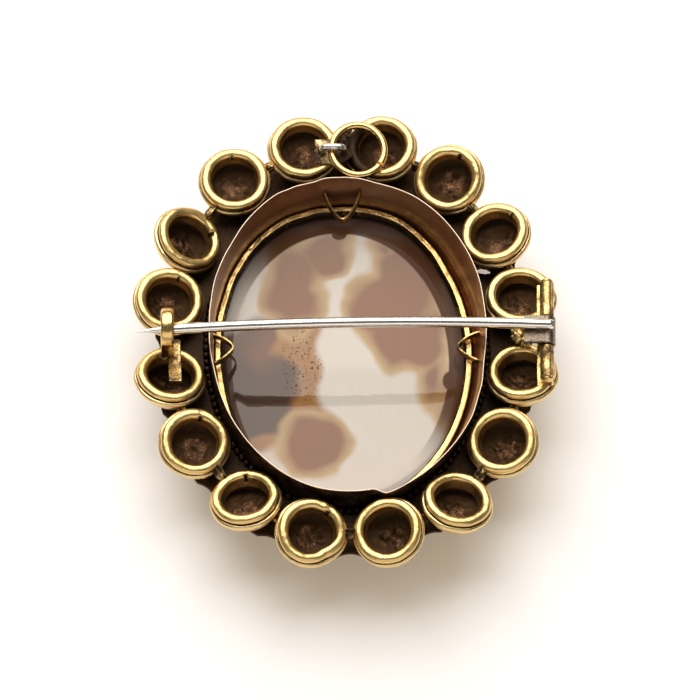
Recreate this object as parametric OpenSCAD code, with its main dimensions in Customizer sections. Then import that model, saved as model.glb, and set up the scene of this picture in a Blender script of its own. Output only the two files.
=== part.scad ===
// Cameo brooch, lying on its front with its back up. Lengths are in millimetres.
// Z = 0 is the flat front edge of the bezel, X runs along the pin stem and Y along the stone.

/* [Stone] */
// Length of the cameo stone, along Y
stone_length = 33.4; // [31:0.2:36]
// Width of the cameo stone, along X
stone_width = 25.8; // [24:0.2:26.4]
// Thickness of the stone between the field of its front and its flat back
stone_thickness = 2.45; // [1.9:0.05:3]
// Width of the rounded edge round the stone's back
stone_edge = 2.6; // [1.6:0.1:3.4]
// Depth that the stone's rounded edge falls away
stone_edge_drop = 0.7; // [0.3:0.05:1.1]
// Distance that the stone sits to the left of the brooch's middle
stone_shift = 0.4; // [0:0.05:0.5]
// Height of the carved flower above the stone's front field
relief_height = 0.95; // [0.5:0.05:1.1]
// Radius of one outer petal of the carved flower
petal_radius = 2.2; // [1.8:0.1:2.5]
// Number of outer petals
petal_count = 8; // [6:1:10]
// Length of one carved leaf
leaf_length = 6.4; // [5:0.2:7]
// Width of one carved leaf
leaf_width = 2.6; // [2:0.1:3.2]

/* [Bezel] */
// Thickness of the bezel's wall
wall = 0.4; // [0.3:0.05:0.6]
// Height of the bezel's rim above the stone's back
rim_height = 6.2; // [5:0.1:7]
// Distance that the rim leans out at each side
side_flare = 0.4; // [0.3:0.05:1]
// Height of the seat under the stone's front
seat_height = 1.3; // [1.2:0.1:1.8]
// Width of the seat under the stone's edge
seat_width = 0.9; // [0.6:0.1:1.2]
// Gap between the stone and the bezel
stone_gap = 0.05; // [0.03:0.01:0.1]

/* [Retaining ring] */
// Width of the flat ring that lies on the stone's back
ring_width = 0.8; // [0.6:0.1:1.1]
// Height of the ring
ring_height = 0.9; // [0.6:0.1:1.1]
// Gap between the ring and the bezel
ring_gap = 0.15; // [0.05:0.05:0.25]

/* [Spring clips] */
// Distance between the two roots of a clip on the wall
clip_span = 3.3; // [2.6:0.1:3.8]
// Distance that a clip's tip reaches in from the wall
clip_reach = 2.1; // [1.6:0.1:2.4]
// Height of a clip's strip
clip_height = 1.05; // [0.7:0.05:1.3]
// Thickness of a clip's strip
clip_thickness = 0.22; // [0.16:0.02:0.3]

/* [Bosses] */
// Number of hollow bosses round the bezel
boss_count = 16; // [12:1:16]
// Outer radius of a boss
boss_radius = 3.55; // [3.2:0.05:3.8]
// Thickness of a boss's sheet
boss_wall = 0.35; // [0.25:0.05:0.45]
// Depth of a boss from its lip to the middle of its round bottom
boss_depth = 3.6; // [3.5:0.05:3.7]
// Depth of the round bottom itself
dish_depth = 2.2; // [1.8:0.05:2.4]
// Thickness of the rolled lip round a boss's mouth
lip_wire = 1.1; // [0.9:0.05:1.2]
// Radius of the lip, to the middle of its roll
lip_radius = 2.9; // [2.7:0.05:3]
// Gap between the rim and the nearest bosses
boss_gap = 0.7; // [0.5:0.05:1]
// Distance that the bosses' lips lie below the rim
lip_below_rim = 0.95; // [0.9:0.05:1]
// Radius of the solder between two bosses
solder_radius = 0.6; // [0.4:0.05:0.7]

/* [Gallery plate] */
// Thickness of the plate between the bezel and the bosses
plate_thickness = 0.5; // [0.4:0.05:0.55]
// Height of the plate above the stone's back
plate_above_stone = 1.4; // [1.3:0.05:1.45]
// Distance that the plate reaches past the middle of the bosses
plate_reach = 1.5; // [1.2:0.1:2]
// Radius of the hollow cut in the plate's edge between two bosses
scallop_radius = 2.4; // [2:0.1:2.8]
// Thickness of the beaded wire round the bezel
bead_wire = 0.75; // [0.5:0.05:0.9]
// Length of the open slot between the bezel and the bosses
slot_length = 1.7; // [1.2:0.1:2.2]
// Width of the open slot
slot_width = 0.7; // [0.5:0.1:0.8]
// Distance of the open slot inside the middles of the bosses
slot_inside = 2.5; // [2.3:0.1:2.6]

/* [Hinge] */
// Distance of the hinge pin outside the middles of the bosses
hinge_outside = 2.05; // [1.5:0.05:2.4]
// Height of the hinge pin above the bosses' lips
hinge_rise = 1.5; // [1.45:0.05:1.75]
// Radius of the knuckles
knuckle_radius = 0.85; // [0.75:0.05:0.95]
// Length of the middle knuckle
middle_length = 3; // [2.6:0.1:3.2]
// Length of the knuckle above the middle one in the photo
upper_length = 3.8; // [3.2:0.1:4]
// Length of the knuckle below it
lower_length = 3.5; // [3:0.1:3.8]
// Sideways gap between two knuckles
knuckle_gap = 0.1; // [0.06:0.02:0.2]
// Radius of the rivet
rivet_radius = 0.4; // [0.3:0.02:0.44]
// Radial clearance of the rivet in the outer knuckles
rivet_fit = 0.02; // [0.01:0.01:0.04]
// Radial clearance of the rivet in the turning knuckle
pin_fit = 0.06; // [0.04:0.01:0.1]
// Thickness of the strip under the knuckles
hinge_strip = 0.55; // [0.45:0.05:0.65]
// Width of that strip
strip_width = 1.95; // [1.85:0.05:2.1]

/* [Pin] */
// Radius of the pin stem
stem_radius = 0.5; // [0.4:0.02:0.56]
// Distance of the stem's point outside the middles of the bosses
point_outside = 3.2; // [2:0.1:4]
// Rise of the stem's bow over its ends
stem_bow = 1.3; // [0.9:0.05:1.5]
// Length of the stem's sharpened point
point_length = 3.9; // [2.6:0.1:4.1]
// Radius of the point's end
point_radius = 0.08; // [0.05:0.01:0.15]
// Turn of the stem in the plane of the brooch
stem_skew = 1.1; // [0.4:0.1:1.4]
// Length of the flat tongue that carries the stem
tongue_length = 2.3; // [1.8:0.1:2.6]
// Thickness of the tongue
tongue_thickness = 0.4; // [0.3:0.05:0.5]

/* [Catch] */
// Distance of the catch inside the middles of the bosses
catch_inside = 0; // [-0.4:0.05:0.6]
// Width of the catch's strip
catch_width = 1.3; // [1:0.05:1.5]
// Thickness of the catch's strip
catch_thickness = 0.5; // [0.4:0.05:0.6]
// Inner radius of the hook
hook_radius = 1.65; // [1.4:0.05:1.8]
// Gap between the closed stem and the hook
hook_gap = 0.12; // [0.08:0.02:0.2]
// Length of the foot that lies on the boss below the hook
foot_length = 4.9; // [4:0.1:5.4]
// Distance of the foot from the hook's middle, along the stem
foot_shift = 0.75; // [0.4:0.05:0.9]

/* [Bail] */
// Distance of the staple inside the middles of the bosses
staple_inside = 0.96; // [0.86:0.02:1.06]
// Thickness of the bail ring's wire
bail_wire = 0.65; // [0.5:0.05:0.75]
// Radius of the bail ring, to the middle of its wire
bail_radius = 2.6; // [2.3:0.05:2.8]
// Opening of the cut in the bail ring, in degrees
bail_cut = 3; // [1:0.5:5]
// Downward tilt of the lying bail ring
bail_tilt = 3; // [2:0.5:4]
// Thickness of the staple's wire
staple_wire = 0.7; // [0.55:0.05:0.8]
// Clearance of the bail ring's wire under the staple
staple_gap = 0.14; // [0.1:0.02:0.2]
// Length of the tab under the staple
tab_length = 3.9; // [3.7:0.1:4.4]
// Width of the tab
tab_width = 2.75; // [2.4:0.05:3]
// Thickness of the tab
tab_thickness = 0.35; // [0.3:0.05:0.5]

/* [Hidden] */

gold = [0.82, 0.64, 0.28];
dark_gold = [0.55, 0.4, 0.18];
silver = [0.8, 0.78, 0.74];
stone_colour = [0.75, 0.62, 0.52];

sides = 72;
fine = 48;

// Heights of the stone, the rim, the lips and the plate
field_z = seat_height + stone_gap;
stone_z = field_z + stone_thickness;
rim_z = stone_z + rim_height;
lip_z = rim_z - lip_below_rim;
plate_z = stone_z + plate_above_stone;
plate_top = plate_z + plate_thickness;

// Half lengths of the ovals, as [x, y]
stone_half = [stone_width / 2, stone_length / 2];
seat_half = grow(stone_half, stone_gap);
base_half = grow(seat_half, wall);
rim_half = [base_half.x + side_flare, base_half.y];
ring_half = grow(stone_half, stone_gap - ring_gap);
boss_half = grow(rim_half, boss_gap + boss_radius);
boss_middle = [-0.2, 0.1];

// Bezel wall above the stone: share of its height, share of its flare
wall_rows = [
    [0, 0],
    [0.08, 0.4],
    [0.25, 0.78],
    [1, 1],
];
flare_start = stone_z + 0.4;

// One row for each boss, from the right side round by the top: turn along the oval in degrees,
// distance outwards as a share of the boss radius, lean of the lip to +X and to +Y in degrees
TURN = 0;
OUT = 1;
LEAN_X = 2;
LEAN_Y = 3;
boss_rows = [
    [1.9, -0.02, 1, 9],
    [0, -0.06, -13, 4],
    [-0.6, 0.02, -10, -12],
    [0.2, 0.1, -2, 0],
    [2, 0.12, 2, 0],
    [2.9, 0.19, 0, -2],
    [2.2, 0.04, 26, 4],
    [-0.4, -0.01, 8, -4],
    [-1, -0.08, 7, 15],
    [-1.4, -0.07, 6, -9],
    [-1.4, -0.12, -8, 16],
    [0.7, 0.02, 8, -9],
    [1.6, 0.04, -11, -8],
    [3.4, 0.14, 10, 15],
    [2.3, 0.04, -9, -9],
    [1.9, -0.06, -3, 13],
];

// Carved leaves: direction in degrees, distance of the leaf's middle as a share of its length
leaf_rows = [
    [62, 1.35],
    [90, 1.5],
    [118, 1.35],
    [200, 1.15],
    [340, 1.15],
    [242, 1.35],
    [270, 1.5],
    [298, 1.35],
];

// Round bottom of a boss, as part of a sphere whose middle lies above the lip
dish_radius = (boss_radius * boss_radius + dish_depth * dish_depth) / (2 * dish_depth);
dish_rise = dish_radius - boss_depth;

// Places of the hinge, the point, the catch and the staple, all from the oval of the bosses
hinge_x = boss_middle.x + boss_half.x + hinge_outside;
stem_reach = boss_half.x + point_outside;
catch_x = catch_inside - boss_half.x;
bail_y = boss_middle.y + boss_half.y - staple_inside;
slot_turn = 28;

// Hinge and pin
hinge_z = lip_z + hinge_rise;
hinge_y = 0.05;
strip_top = hinge_z - knuckle_radius - 0.1;
tongue_top = hinge_z + knuckle_radius - 0.05;
stem_end_z = tongue_top + stem_radius - 0.1;
stem_tail = 0.6;
stem_y = 0.3;
stem_middle = (hinge_x + stem_tail - stem_reach) / 2;
stem_chord = (hinge_x + stem_tail + stem_reach) / 2;
bow_radius = (stem_chord * stem_chord + stem_bow * stem_bow) / (2 * stem_bow);
bow_z = stem_end_z + stem_bow - bow_radius;

// Catch, fitted over the closed stem
catch_boss = 8;
stem_at_catch_z = bow_height(catch_x);
stem_at_catch_y = stem_y - (hinge_x - catch_x) * tan(stem_skew);
hook_offset = 0.5;
hook_y = stem_at_catch_y + hook_offset;
hook_z = stem_at_catch_z - gap_rise(hook_radius - stem_radius - hook_gap, hook_offset);
hook_outer = hook_radius + catch_thickness;
hook_tip = 0.35;

// Bail, its tab and its staple
tab_z = lip_z - 0.12;
tab_top = tab_z + tab_thickness;
tab_x = -1.4;
bail_x = -1.53;
bail_z = tab_top + staple_gap + bail_wire / 2;
staple_z = bail_z + bail_wire / 2 + staple_gap + staple_wire / 2;
staple_half = 1.15;
staple_bend = 0.6;

function grow(half, by) = [half.x + by, half.y + by];
function mix(a, b, share) = a + (b - a) * share;
function bow_height(x) = bow_z + sqrt(pow(bow_radius, 2) - pow(x - stem_middle, 2));
function gap_rise(reach, offset) = sqrt(max(0.01, reach * reach - offset * offset));

// Points of an oval at one height, as [x, y, z]
function oval(half, shift, z) = [
    for (i = [0:sides - 1])
        [shift + half.x * cos(360 * i / sides), half.y * sin(360 * i / sides), z]
];
function flat(points) = [for (p = points) [p.x, p.y]];

// Bezel wall at a share of its height: its outer half lengths and its sideways shift
function wall_half(share) = [base_half.x + side_flare * share, base_half.y];
function wall_shift(share) = -stone_shift * (1 - share);
function wall_ring(row, inset) =
    oval(grow(wall_half(row[1]), -inset), wall_shift(row[1]), mix(flare_start, rim_z, row[0]));

// Flare of the wall at a height, read from the wall's own rows
function flare_at(z) = lookup((z - flare_start) / (rim_z - flare_start), wall_rows);

// Bosses: place of the lip's middle, direction of the mouth and middle of the side wall
function boss_row(i) = boss_rows[i % len(boss_rows)];
function boss_turn(i) = 360 * (i + 0.5) / boss_count + boss_row(i)[TURN];
function oval_point(turn, out) =
    let (
        p = [boss_half.x * cos(turn), boss_half.y * sin(turn)],
        n = [cos(turn) / boss_half.x, sin(turn) / boss_half.y]
    )
    boss_middle + p + n / norm(n) * out;
function boss_place(i) =
    let (p = oval_point(boss_turn(i), boss_row(i)[OUT] * boss_radius))
    [p.x, p.y, lip_z];
function boss_mouth(i) =
    let (a = boss_row(i)[LEAN_X], b = boss_row(i)[LEAN_Y])
    [sin(a) * cos(b), sin(b), cos(a) * cos(b)];
function side_middle(i) = boss_place(i) - boss_mouth(i) * lip_wire;

// Closed shell through rings of points, each ring joined to the next and the last to the first
module ring_shell(rings) {
    count = len(rings);
    polyhedron(
        points = [for (ring = rings) each ring],
        faces = [
            for (r = [0:count - 1], i = [0:sides - 1], half = [0, 1])
                let (
                    next = (r + 1) % count,
                    j = (i + 1) % sides,
                    a = r * sides + i,
                    b = r * sides + j,
                    c = next * sides + j,
                    d = next * sides + i
                )
                half == 0 ? [a, c, b] : [a, d, c]
        ]
    );
}

// Closed solid through rings of points, from the bottom ring to the top ring
module ring_solid(rings) {
    count = len(rings);
    polyhedron(
        points = [for (ring = rings) each ring],
        faces = [
            [for (i = [0:sides - 1]) i],
            [for (i = [sides - 1:-1:0]) (count - 1) * sides + i],
            for (r = [0:count - 2], i = [0:sides - 1], half = [0, 1])
                let (
                    j = (i + 1) % sides,
                    a = r * sides + i,
                    b = r * sides + j,
                    c = (r + 1) * sides + j,
                    d = (r + 1) * sides + i
                )
                half == 0 ? [a, c, b] : [a, d, c]
        ]
    );
}

// Bezel: front seat for the stone and the wall that flares to the rim
module bezel() {
    open_half = grow(seat_half, -seat_width);
    outer = [for (row = wall_rows) wall_ring(row, 0)];
    inner = [for (i = [len(wall_rows) - 1:-1:0]) wall_ring(wall_rows[i], wall)];
    ring_shell(concat(
        [oval(open_half, -stone_shift, 0), oval(base_half, -stone_shift, 0)],
        outer,
        inner,
        [oval(seat_half, -stone_shift, seat_height), oval(open_half, -stone_shift, seat_height)]
    ));
}

// Half section of a dish from its axis outwards: round bottom and upright side
module dish_section(inset, top) {
    intersection() {
        translate([0, dish_rise]) circle(r = dish_radius - inset, $fn = fine);
        translate([0, -boss_depth - 1])
            square([boss_radius - inset, boss_depth + 1 + top]);
    }
}

// Sheet section of one boss, from its round bottom to its rolled lip
module boss_section() {
    difference() {
        dish_section(0, -lip_wire / 2);
        dish_section(boss_wall, 1);
    }
    translate([lip_radius, -lip_wire / 2]) circle(d = lip_wire, $fn = fine);
}

module boss(i) {
    translate(boss_place(i))
        rotate([-boss_row(i)[LEAN_Y], boss_row(i)[LEAN_X], 0])
        rotate_extrude($fn = fine) boss_section();
}

// Solder that bridges the sides of two neighbouring bosses
module solder(i) {
    a = side_middle(i);
    b = side_middle((i + 1) % boss_count);
    bite = boss_radius - boss_wall / 2;
    run = norm(b - a) - 2 * bite;
    way = (b - a) / norm(b - a);
    if (run > 0.05)
        translate(a + way * bite)
            rotate([0, acos(way.z), atan2(way.y, way.x)])
            cylinder(h = run, r = solder_radius, $fn = 24);
}

// Plate between the bezel and the bosses, hollowed between them and open at the slot
module gallery_plate() {
    share = flare_at(plate_z + plate_thickness / 2);
    inner = oval(grow(wall_half(share), -wall / 2), wall_shift(share), 0);
    edge = plate_reach + scallop_radius - 0.9;
    translate([0, 0, plate_z]) linear_extrude(plate_thickness) difference() {
        translate(boss_middle) polygon(flat(oval(grow(boss_half, plate_reach), 0, 0)));
        polygon(flat(inner));
        for (i = [0:boss_count - 1])
            translate(oval_point((boss_turn(i) + next_turn(i)) / 2, edge))
                circle(r = scallop_radius, $fn = fine);
        translate(oval_point(slot_turn, -slot_inside))
            rotate(-10) square([slot_length, slot_width], center = true);
    }
}
function next_turn(i) = i == boss_count - 1 ? 360 + boss_turn(0) : boss_turn(i + 1);

// Wire that runs round the foot of the bezel on the plate
module base_wire() {
    share = flare_at(plate_top + bead_wire / 2);
    half = grow(wall_half(share), -wall / 2);
    translate([wall_shift(share), 0, plate_top - 0.1])
        linear_extrude(bead_wire) difference() {
            polygon(flat(oval(grow(half, bead_wire + wall / 2), 0, 0)));
            polygon(flat(oval(half, 0, 0)));
        }
}

// Bent strip whose roots are in the wall and whose tip reaches over the stone
module clip() {
    root = clip_span / 2;
    side = clip_thickness * norm([root, clip_reach]) / clip_reach;
    tip = clip_thickness * norm([root, clip_reach]) / root;
    into = wall / 2 / clip_reach;
    linear_extrude(clip_height) polygon([
        [-root * (1 + into), clip_reach * into],
        [0, -clip_reach],
        [root * (1 + into), clip_reach * into],
        [root * (1 + into) - side, clip_reach * into],
        [0, -clip_reach + tip],
        [-root * (1 + into) + side, clip_reach * into],
    ]);
}

module clips() {
    z = stone_z + ring_height + 0.1;
    share = flare_at(z + clip_height / 2);
    half = grow(wall_half(share), -wall);
    shift = wall_shift(share);
    translate([shift - 0.6, half.y, z]) clip();
    translate([shift - 0.2, -half.y, z]) rotate(180) clip();
    translate([shift - half.x, 0.5, z]) rotate(90) clip();
    translate([shift + half.x, 0.5, z]) rotate(-90) clip();
}

// Outer knuckles of the hinge on the strip that is soldered over two bosses
module knuckle(start, length) {
    web = 1.2;
    difference() {
        union() {
            translate([hinge_x, start, hinge_z])
                rotate([-90, 0, 0]) cylinder(h = length, r = knuckle_radius, $fn = fine);
            translate([hinge_x - web / 2, start, strip_top - 0.1])
                cube([web, length, hinge_z - strip_top - 0.1]);
        }
        translate([hinge_x, start - 1, hinge_z])
            rotate([-90, 0, 0]) cylinder(h = length + 2, r = rivet_radius + rivet_fit, $fn = fine);
    }
}

module hinge_seat() {
    start = hinge_y - middle_length / 2 - knuckle_gap - lower_length;
    end = hinge_y + middle_length / 2 + knuckle_gap + upper_length;
    knuckle(start, lower_length);
    knuckle(end - upper_length, upper_length);
    translate([hinge_x - 1.25, start - 0.3, strip_top - hinge_strip])
        cube([strip_width, end - start + 0.5, hinge_strip]);
    for (i = [0, boss_count - 1])
        translate([hinge_x + 0.25, boss_place(i).y, lip_z - lip_wire / 2])
            cylinder(h = strip_top - hinge_strip / 2 - lip_z + lip_wire / 2, r = 0.45, $fn = fine);
}

// Catch: foot on a boss's lip, leg beside the stem and hook that curls over it
module hook_section(leg) {
    translate([hook_y, hook_z]) {
        difference() {
            circle(r = hook_outer, $fn = fine);
            circle(r = hook_radius, $fn = fine);
            translate([-hook_outer - 1, -hook_outer - 1])
                square([2 * hook_outer + 2, hook_outer + 1]);
        }
        translate([-hook_outer, -leg]) square([catch_thickness, leg]);
        translate([hook_radius, -hook_tip]) square([catch_thickness, hook_tip]);
    }
}

module catch() {
    row = boss_row(catch_boss);
    place = boss_place(catch_boss);
    leg_y = hook_y - hook_outer + catch_thickness / 2;
    leg_foot = place.z - (leg_y - place.y) * tan(row[LEAN_Y]);
    foot_x = catch_x + foot_shift - place.x - catch_width / 2;
    translate(place)
        rotate([-row[LEAN_Y], row[LEAN_X], 0])
        translate([foot_x, lip_radius + lip_wire / 2 - foot_length, -0.1])
        cube([catch_width, foot_length, catch_thickness]);
    translate([catch_x - catch_width / 2, 0, 0])
        rotate([90, 0, 90]) linear_extrude(catch_width) hook_section(hook_z - leg_foot);
}

// Tab on two bosses, with a staple that holds the bail ring
module bail_seat() {
    point = 1.25;
    translate([tab_x - tab_length / 2, bail_y + 0.1, tab_z])
        linear_extrude(tab_thickness) polygon([
            [0, -tab_width / 2],
            [tab_length - point, -tab_width / 2],
            [tab_length, -tab_width / 6],
            [tab_length - point, tab_width / 2],
            [0, tab_width / 2],
        ]);
    for (side = [-1, 1]) {
        translate([bail_x + side * staple_half, bail_y, tab_z + 0.1])
            cylinder(h = staple_z - staple_bend - tab_z - 0.1, d = staple_wire, $fn = fine);
        translate([bail_x + side * (staple_half - staple_bend), bail_y, staple_z - staple_bend])
            rotate([90, 0, 0])
            rotate_extrude(angle = 90, start = side > 0 ? 0 : 90, $fn = fine)
            translate([staple_bend, 0]) circle(d = staple_wire, $fn = fine);
    }
    translate([bail_x - staple_half + staple_bend, bail_y, staple_z])
        rotate([0, 90, 0])
        cylinder(h = 2 * (staple_half - staple_bend), d = staple_wire, $fn = fine);
}

// The soldered gold frame
module mount() {
    color(gold) {
        for (i = [0:boss_count - 1]) {
            boss(i);
            solder(i);
        }
        bezel();
        clips();
        hinge_seat();
        catch();
        bail_seat();
    }
    color(dark_gold) {
        gallery_plate();
        base_wire();
    }
}

// Pointed leaf of the relief, as the shape that two circles share
module leaf(length, width) {
    r = (length * length + width * width) / (4 * width);
    intersection() {
        translate([0, r - width / 2]) circle(r = r, $fn = fine);
        translate([0, width / 2 - r]) circle(r = r, $fn = fine);
    }
}

// Cap of a sphere that stands out of the stone's front field
module petal(radius, height) {
    r = (radius * radius + height * height) / (2 * height);
    translate([0, 0, field_z + r - height]) sphere(r = r, $fn = fine);
}

module relief() {
    leaf_height = relief_height * 0.5;
    ring = petal_radius * 1.75;
    intersection() {
        union() {
            for (i = [0:petal_count - 1])
                rotate(360 * i / petal_count)
                    translate([ring, 0, 0]) petal(petal_radius, relief_height * 0.75);
            for (i = [0:4])
                rotate(72 * i + 18)
                    translate([petal_radius * 0.8, 0, 0])
                    petal(petal_radius * 0.75, relief_height * 0.9);
            petal(petal_radius * 0.5, relief_height);
        }
        translate([-ring * 2, -ring * 2, field_z - relief_height - 0.1])
            cube([ring * 4, ring * 4, relief_height + 0.4]);
    }
    for (row = leaf_rows)
        rotate(row[0])
            translate([row[1] * leaf_length, 0, field_z - leaf_height])
            linear_extrude(leaf_height + 0.2) leaf(leaf_length, leaf_width);
}

module cameo_stone() {
    soft = stone_edge;
    fall = stone_edge_drop;
    color(stone_colour) translate([-stone_shift, 0, 0]) {
        ring_solid([
            oval(stone_half, 0, field_z),
            oval(stone_half, 0, stone_z - fall),
            oval(grow(stone_half, -soft * 0.12), 0, stone_z - fall * 0.55),
            oval(grow(stone_half, -soft * 0.4), 0, stone_z - fall * 0.2),
            oval(grow(stone_half, -soft), 0, stone_z),
        ]);
        relief();
    }
}

// Flat ring over the stone's edge
module retaining_ring() {
    inner = grow(ring_half, -ring_width);
    low = stone_z - stone_edge_drop * 0.3 + 0.3;
    top = stone_z + ring_height;
    color(gold) ring_shell([
        oval(inner, -stone_shift, low),
        oval(ring_half, -stone_shift, low),
        oval(ring_half, -stone_shift, top),
        oval(inner, -stone_shift, top),
    ]);
}

// Pin: bowed stem on a tongue, with the knuckle that turns on the rivet
module stem() {
    tail = asin((hinge_x + stem_tail - stem_middle) / bow_radius);
    taper = asin((stem_reach - point_length + stem_middle) / bow_radius);
    overlap = 0.2;
    translate([hinge_x, stem_y, 0]) rotate(stem_skew) translate([-hinge_x, 0, 0]) {
        translate([stem_middle, 0, bow_z]) rotate([90, 0, 0])
            rotate_extrude(angle = tail + taper, start = 90 - tail, $fn = 360)
            translate([bow_radius, 0]) circle(r = stem_radius, $fn = fine);
        translate([stem_middle, 0, bow_z]) rotate([0, -taper, 0])
            translate([overlap, 0, bow_radius]) rotate([0, -90, 0])
            cylinder(h = point_length + overlap, r1 = 0.98 * stem_radius, r2 = point_radius, $fn = fine);
    }
}

module pin() {
    color(silver) {
        stem();
        difference() {
            union() {
                translate([hinge_x, hinge_y - middle_length / 2, hinge_z])
                    rotate([-90, 0, 0])
                    cylinder(h = middle_length, r = knuckle_radius, $fn = fine);
                translate([
                    hinge_x - tongue_length,
                    hinge_y - middle_length / 2,
                    tongue_top - tongue_thickness
                ])
                    cube([tongue_length + 0.3, middle_length, tongue_thickness]);
            }
            translate([hinge_x, hinge_y - middle_length, hinge_z])
                rotate([-90, 0, 0])
                cylinder(h = 2 * middle_length, r = rivet_radius + pin_fit, $fn = fine);
        }
    }
}

// Rivet through the knuckles, with a head outside each end
module hinge_rivet() {
    start = hinge_y - middle_length / 2 - knuckle_gap - lower_length;
    end = hinge_y + middle_length / 2 + knuckle_gap + upper_length;
    head = 0.3;
    space = 0.03;
    color(gold) {
        translate([hinge_x, start - space - head / 2, hinge_z]) rotate([-90, 0, 0])
            cylinder(h = end - start + 2 * space + head, r = rivet_radius, $fn = fine);
        for (y = [start - space - head, end + space])
            translate([hinge_x, y, hinge_z]) rotate([-90, 0, 0])
                cylinder(h = head, r = rivet_radius + 0.2, $fn = fine);
    }
}

// Bail ring, threaded through the staple and lying on the boss beside it
module bail_ring() {
    color(gold)
        translate([bail_x, bail_y, bail_z]) rotate([0, bail_tilt, 0])
        translate([bail_radius, 0, 0]) rotate(-30)
        rotate_extrude(angle = 360 - bail_cut, $fn = fine)
        translate([bail_radius, 0]) circle(d = bail_wire, $fn = fine);
}

mount();
cameo_stone();
retaining_ring();
pin();
hinge_rivet();
bail_ring();
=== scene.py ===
from math import atan2, copysign, cos, degrees, exp, hypot, pi, radians, sin, sqrt, tan
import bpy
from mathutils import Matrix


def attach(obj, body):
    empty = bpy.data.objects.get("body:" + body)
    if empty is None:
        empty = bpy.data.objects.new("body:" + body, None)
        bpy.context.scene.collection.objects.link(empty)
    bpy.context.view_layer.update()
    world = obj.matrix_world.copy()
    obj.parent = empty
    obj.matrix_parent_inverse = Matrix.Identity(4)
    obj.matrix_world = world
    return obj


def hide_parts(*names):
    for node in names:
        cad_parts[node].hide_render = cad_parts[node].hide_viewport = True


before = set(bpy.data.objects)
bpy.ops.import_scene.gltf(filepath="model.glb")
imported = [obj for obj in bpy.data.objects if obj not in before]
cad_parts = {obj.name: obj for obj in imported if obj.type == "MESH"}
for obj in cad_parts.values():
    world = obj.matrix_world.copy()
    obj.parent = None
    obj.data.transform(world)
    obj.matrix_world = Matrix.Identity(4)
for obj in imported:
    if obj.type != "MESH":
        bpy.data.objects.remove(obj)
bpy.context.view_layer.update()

from types import SimpleNamespace

import bmesh
import bpy
from mathutils import Matrix, Vector, noise

bl_info = {
    "name": "Cameo Brooch Back",
    "version": (1, 0, 0),
    "blender": (4, 5, 0),
    "location": "3D View > Sidebar > Brooch",
    "description": "Builds the looks of a cameo brooch that lies with its back up",
    "category": "Add Mesh",
}

MM = 0.001
BODY = "frame"

# One row for each boss, from the right side round by the top: turn along the oval in degrees,
# distance outwards as a share of the boss radius, lean of the lip to +X and to +Y in degrees
BOSS_ROWS = [
    (1.9, -0.02, 1, 9), (0, -0.06, -13, 4), (-0.6, 0.02, -10, -12), (0.2, 0.1, -2, 0),
    (2, 0.12, 2, 0), (2.9, 0.19, 0, -2), (2.2, 0.04, 26, 4), (-0.4, -0.01, 8, -4),
    (-1, -0.08, 7, 15), (-1.4, -0.07, 6, -9), (-1.4, -0.12, -8, 16), (0.7, 0.02, 8, -9),
    (1.6, 0.04, -11, -8), (3.4, 0.14, 10, 15), (2.3, 0.04, -9, -9), (1.9, -0.06, -3, 13),
]
BOSSES = range(len(BOSS_ROWS))

# Nicks and dents in the lips: boss, angle round the mouth in degrees, width in degrees, depth in mm
LIP_MARKS = [
    (1, 45, 5, 0.25), (2, 60, 7, 0.3), (3, 190, 70, 0.3), (5, 96, 8, 0.15), (6, 20, 8, 0.3),
    (7, 70, 6, 0.15), (9, 80, 6, 0.4), (10, 90, 5, 0.35), (11, 55, 9, 0.45), (13, 250, 8, 0.12),
]
CRUSHED_BOSS, CRUSHED_ANGLE, CATCH_BOSS = 11, 300, 8

# Widths in degrees: a wider dent has a flat floor, a narrower nick stops short of the mouth
WIDE_DENT, NARROW_NICK = 60, 20

# Open slot in the plate: its angle along the oval and its lean, in degrees
SLOT_ANGLE, SLOT_LEAN = 28, -10

# Lengths and places in mm that several pieces share
STONE_GAP = 0.05
BOSS_GAP = 0.7
BOSS_MIDDLE = (-0.2, 0.1)
CUP_FLOOR = -2.95
PLATE_THICK = 0.5
HINGE_LIFT = 1.5

# Bezel wall above the stone: share of its height, share of its flare
WALL_ROWS = [(0, 0), (0.08, 0.4), (0.25, 0.78), (0.6, 0.93), (1, 1)]

# Bent part of the bezel's rim: angle round the oval in degrees, distance pushed out in mm
RIM_BENDS = [
    (-180, 0.15), (-165, 0), (-90, 0), (-80, 0.05), (-74, 0.85), (-60, 0.68), (-45, 0.62),
    (-32, 0.6), (-20, 0.35), (-8, 0.02), (10, 0.15), (23, 0.36), (46, 0.36), (60, 0.3),
    (78, 0.08), (87, 0.26), (92, 0.33), (100, 0.46), (104, 0.34), (114, 0.6), (120, 0.78),
    (133, 0.72), (147, 0.52), (158, 0.5), (170, 0.3), (180, 0.15),
]

# The bezel's foot, the ring and the stone are a little squarer above: same columns
FOOT_BENDS = [
    (-180, 0.1), (-170, 0), (35, 0), (46, 0.2), (64, 0.38), (84, 0.16), (94, 0.1),
    (106, 0.32), (119, 0.62), (134, 0.7), (146, 0.6), (160, 0.35), (180, 0.1),
]

# Coloured zones in the stone, in mm: middle x and y, half width, half height
STONE_ZONES = [
    (-5.4, 8.4, 3.3, 6.2), (-2.2, 12.0, 2.9, 3.0), (3.6, 12.5, 2.2, 1.5),
    (5.8, 9.8, 3.6, 4.0), (4.4, 6.2, 5.0, 4.6), (6.0, 2.6, 4.3, 4.2),
    (8.6, -2.0, 2.0, 3.4), (10.4, -4.6, 1.6, 4.0), (-3.4, -9.2, 3.8, 3.9),
]

# Zones that stay brown and never turn mauve: same columns
TAN_ZONES = [(-4.9, 2.4, 2.5, 3.4), (-4.1, -1.2, 1.4, 4.4), (-4.2, -5.4, 1.8, 2.2), (-8.4, -9.3, 2.0, 1.0)]

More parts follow.
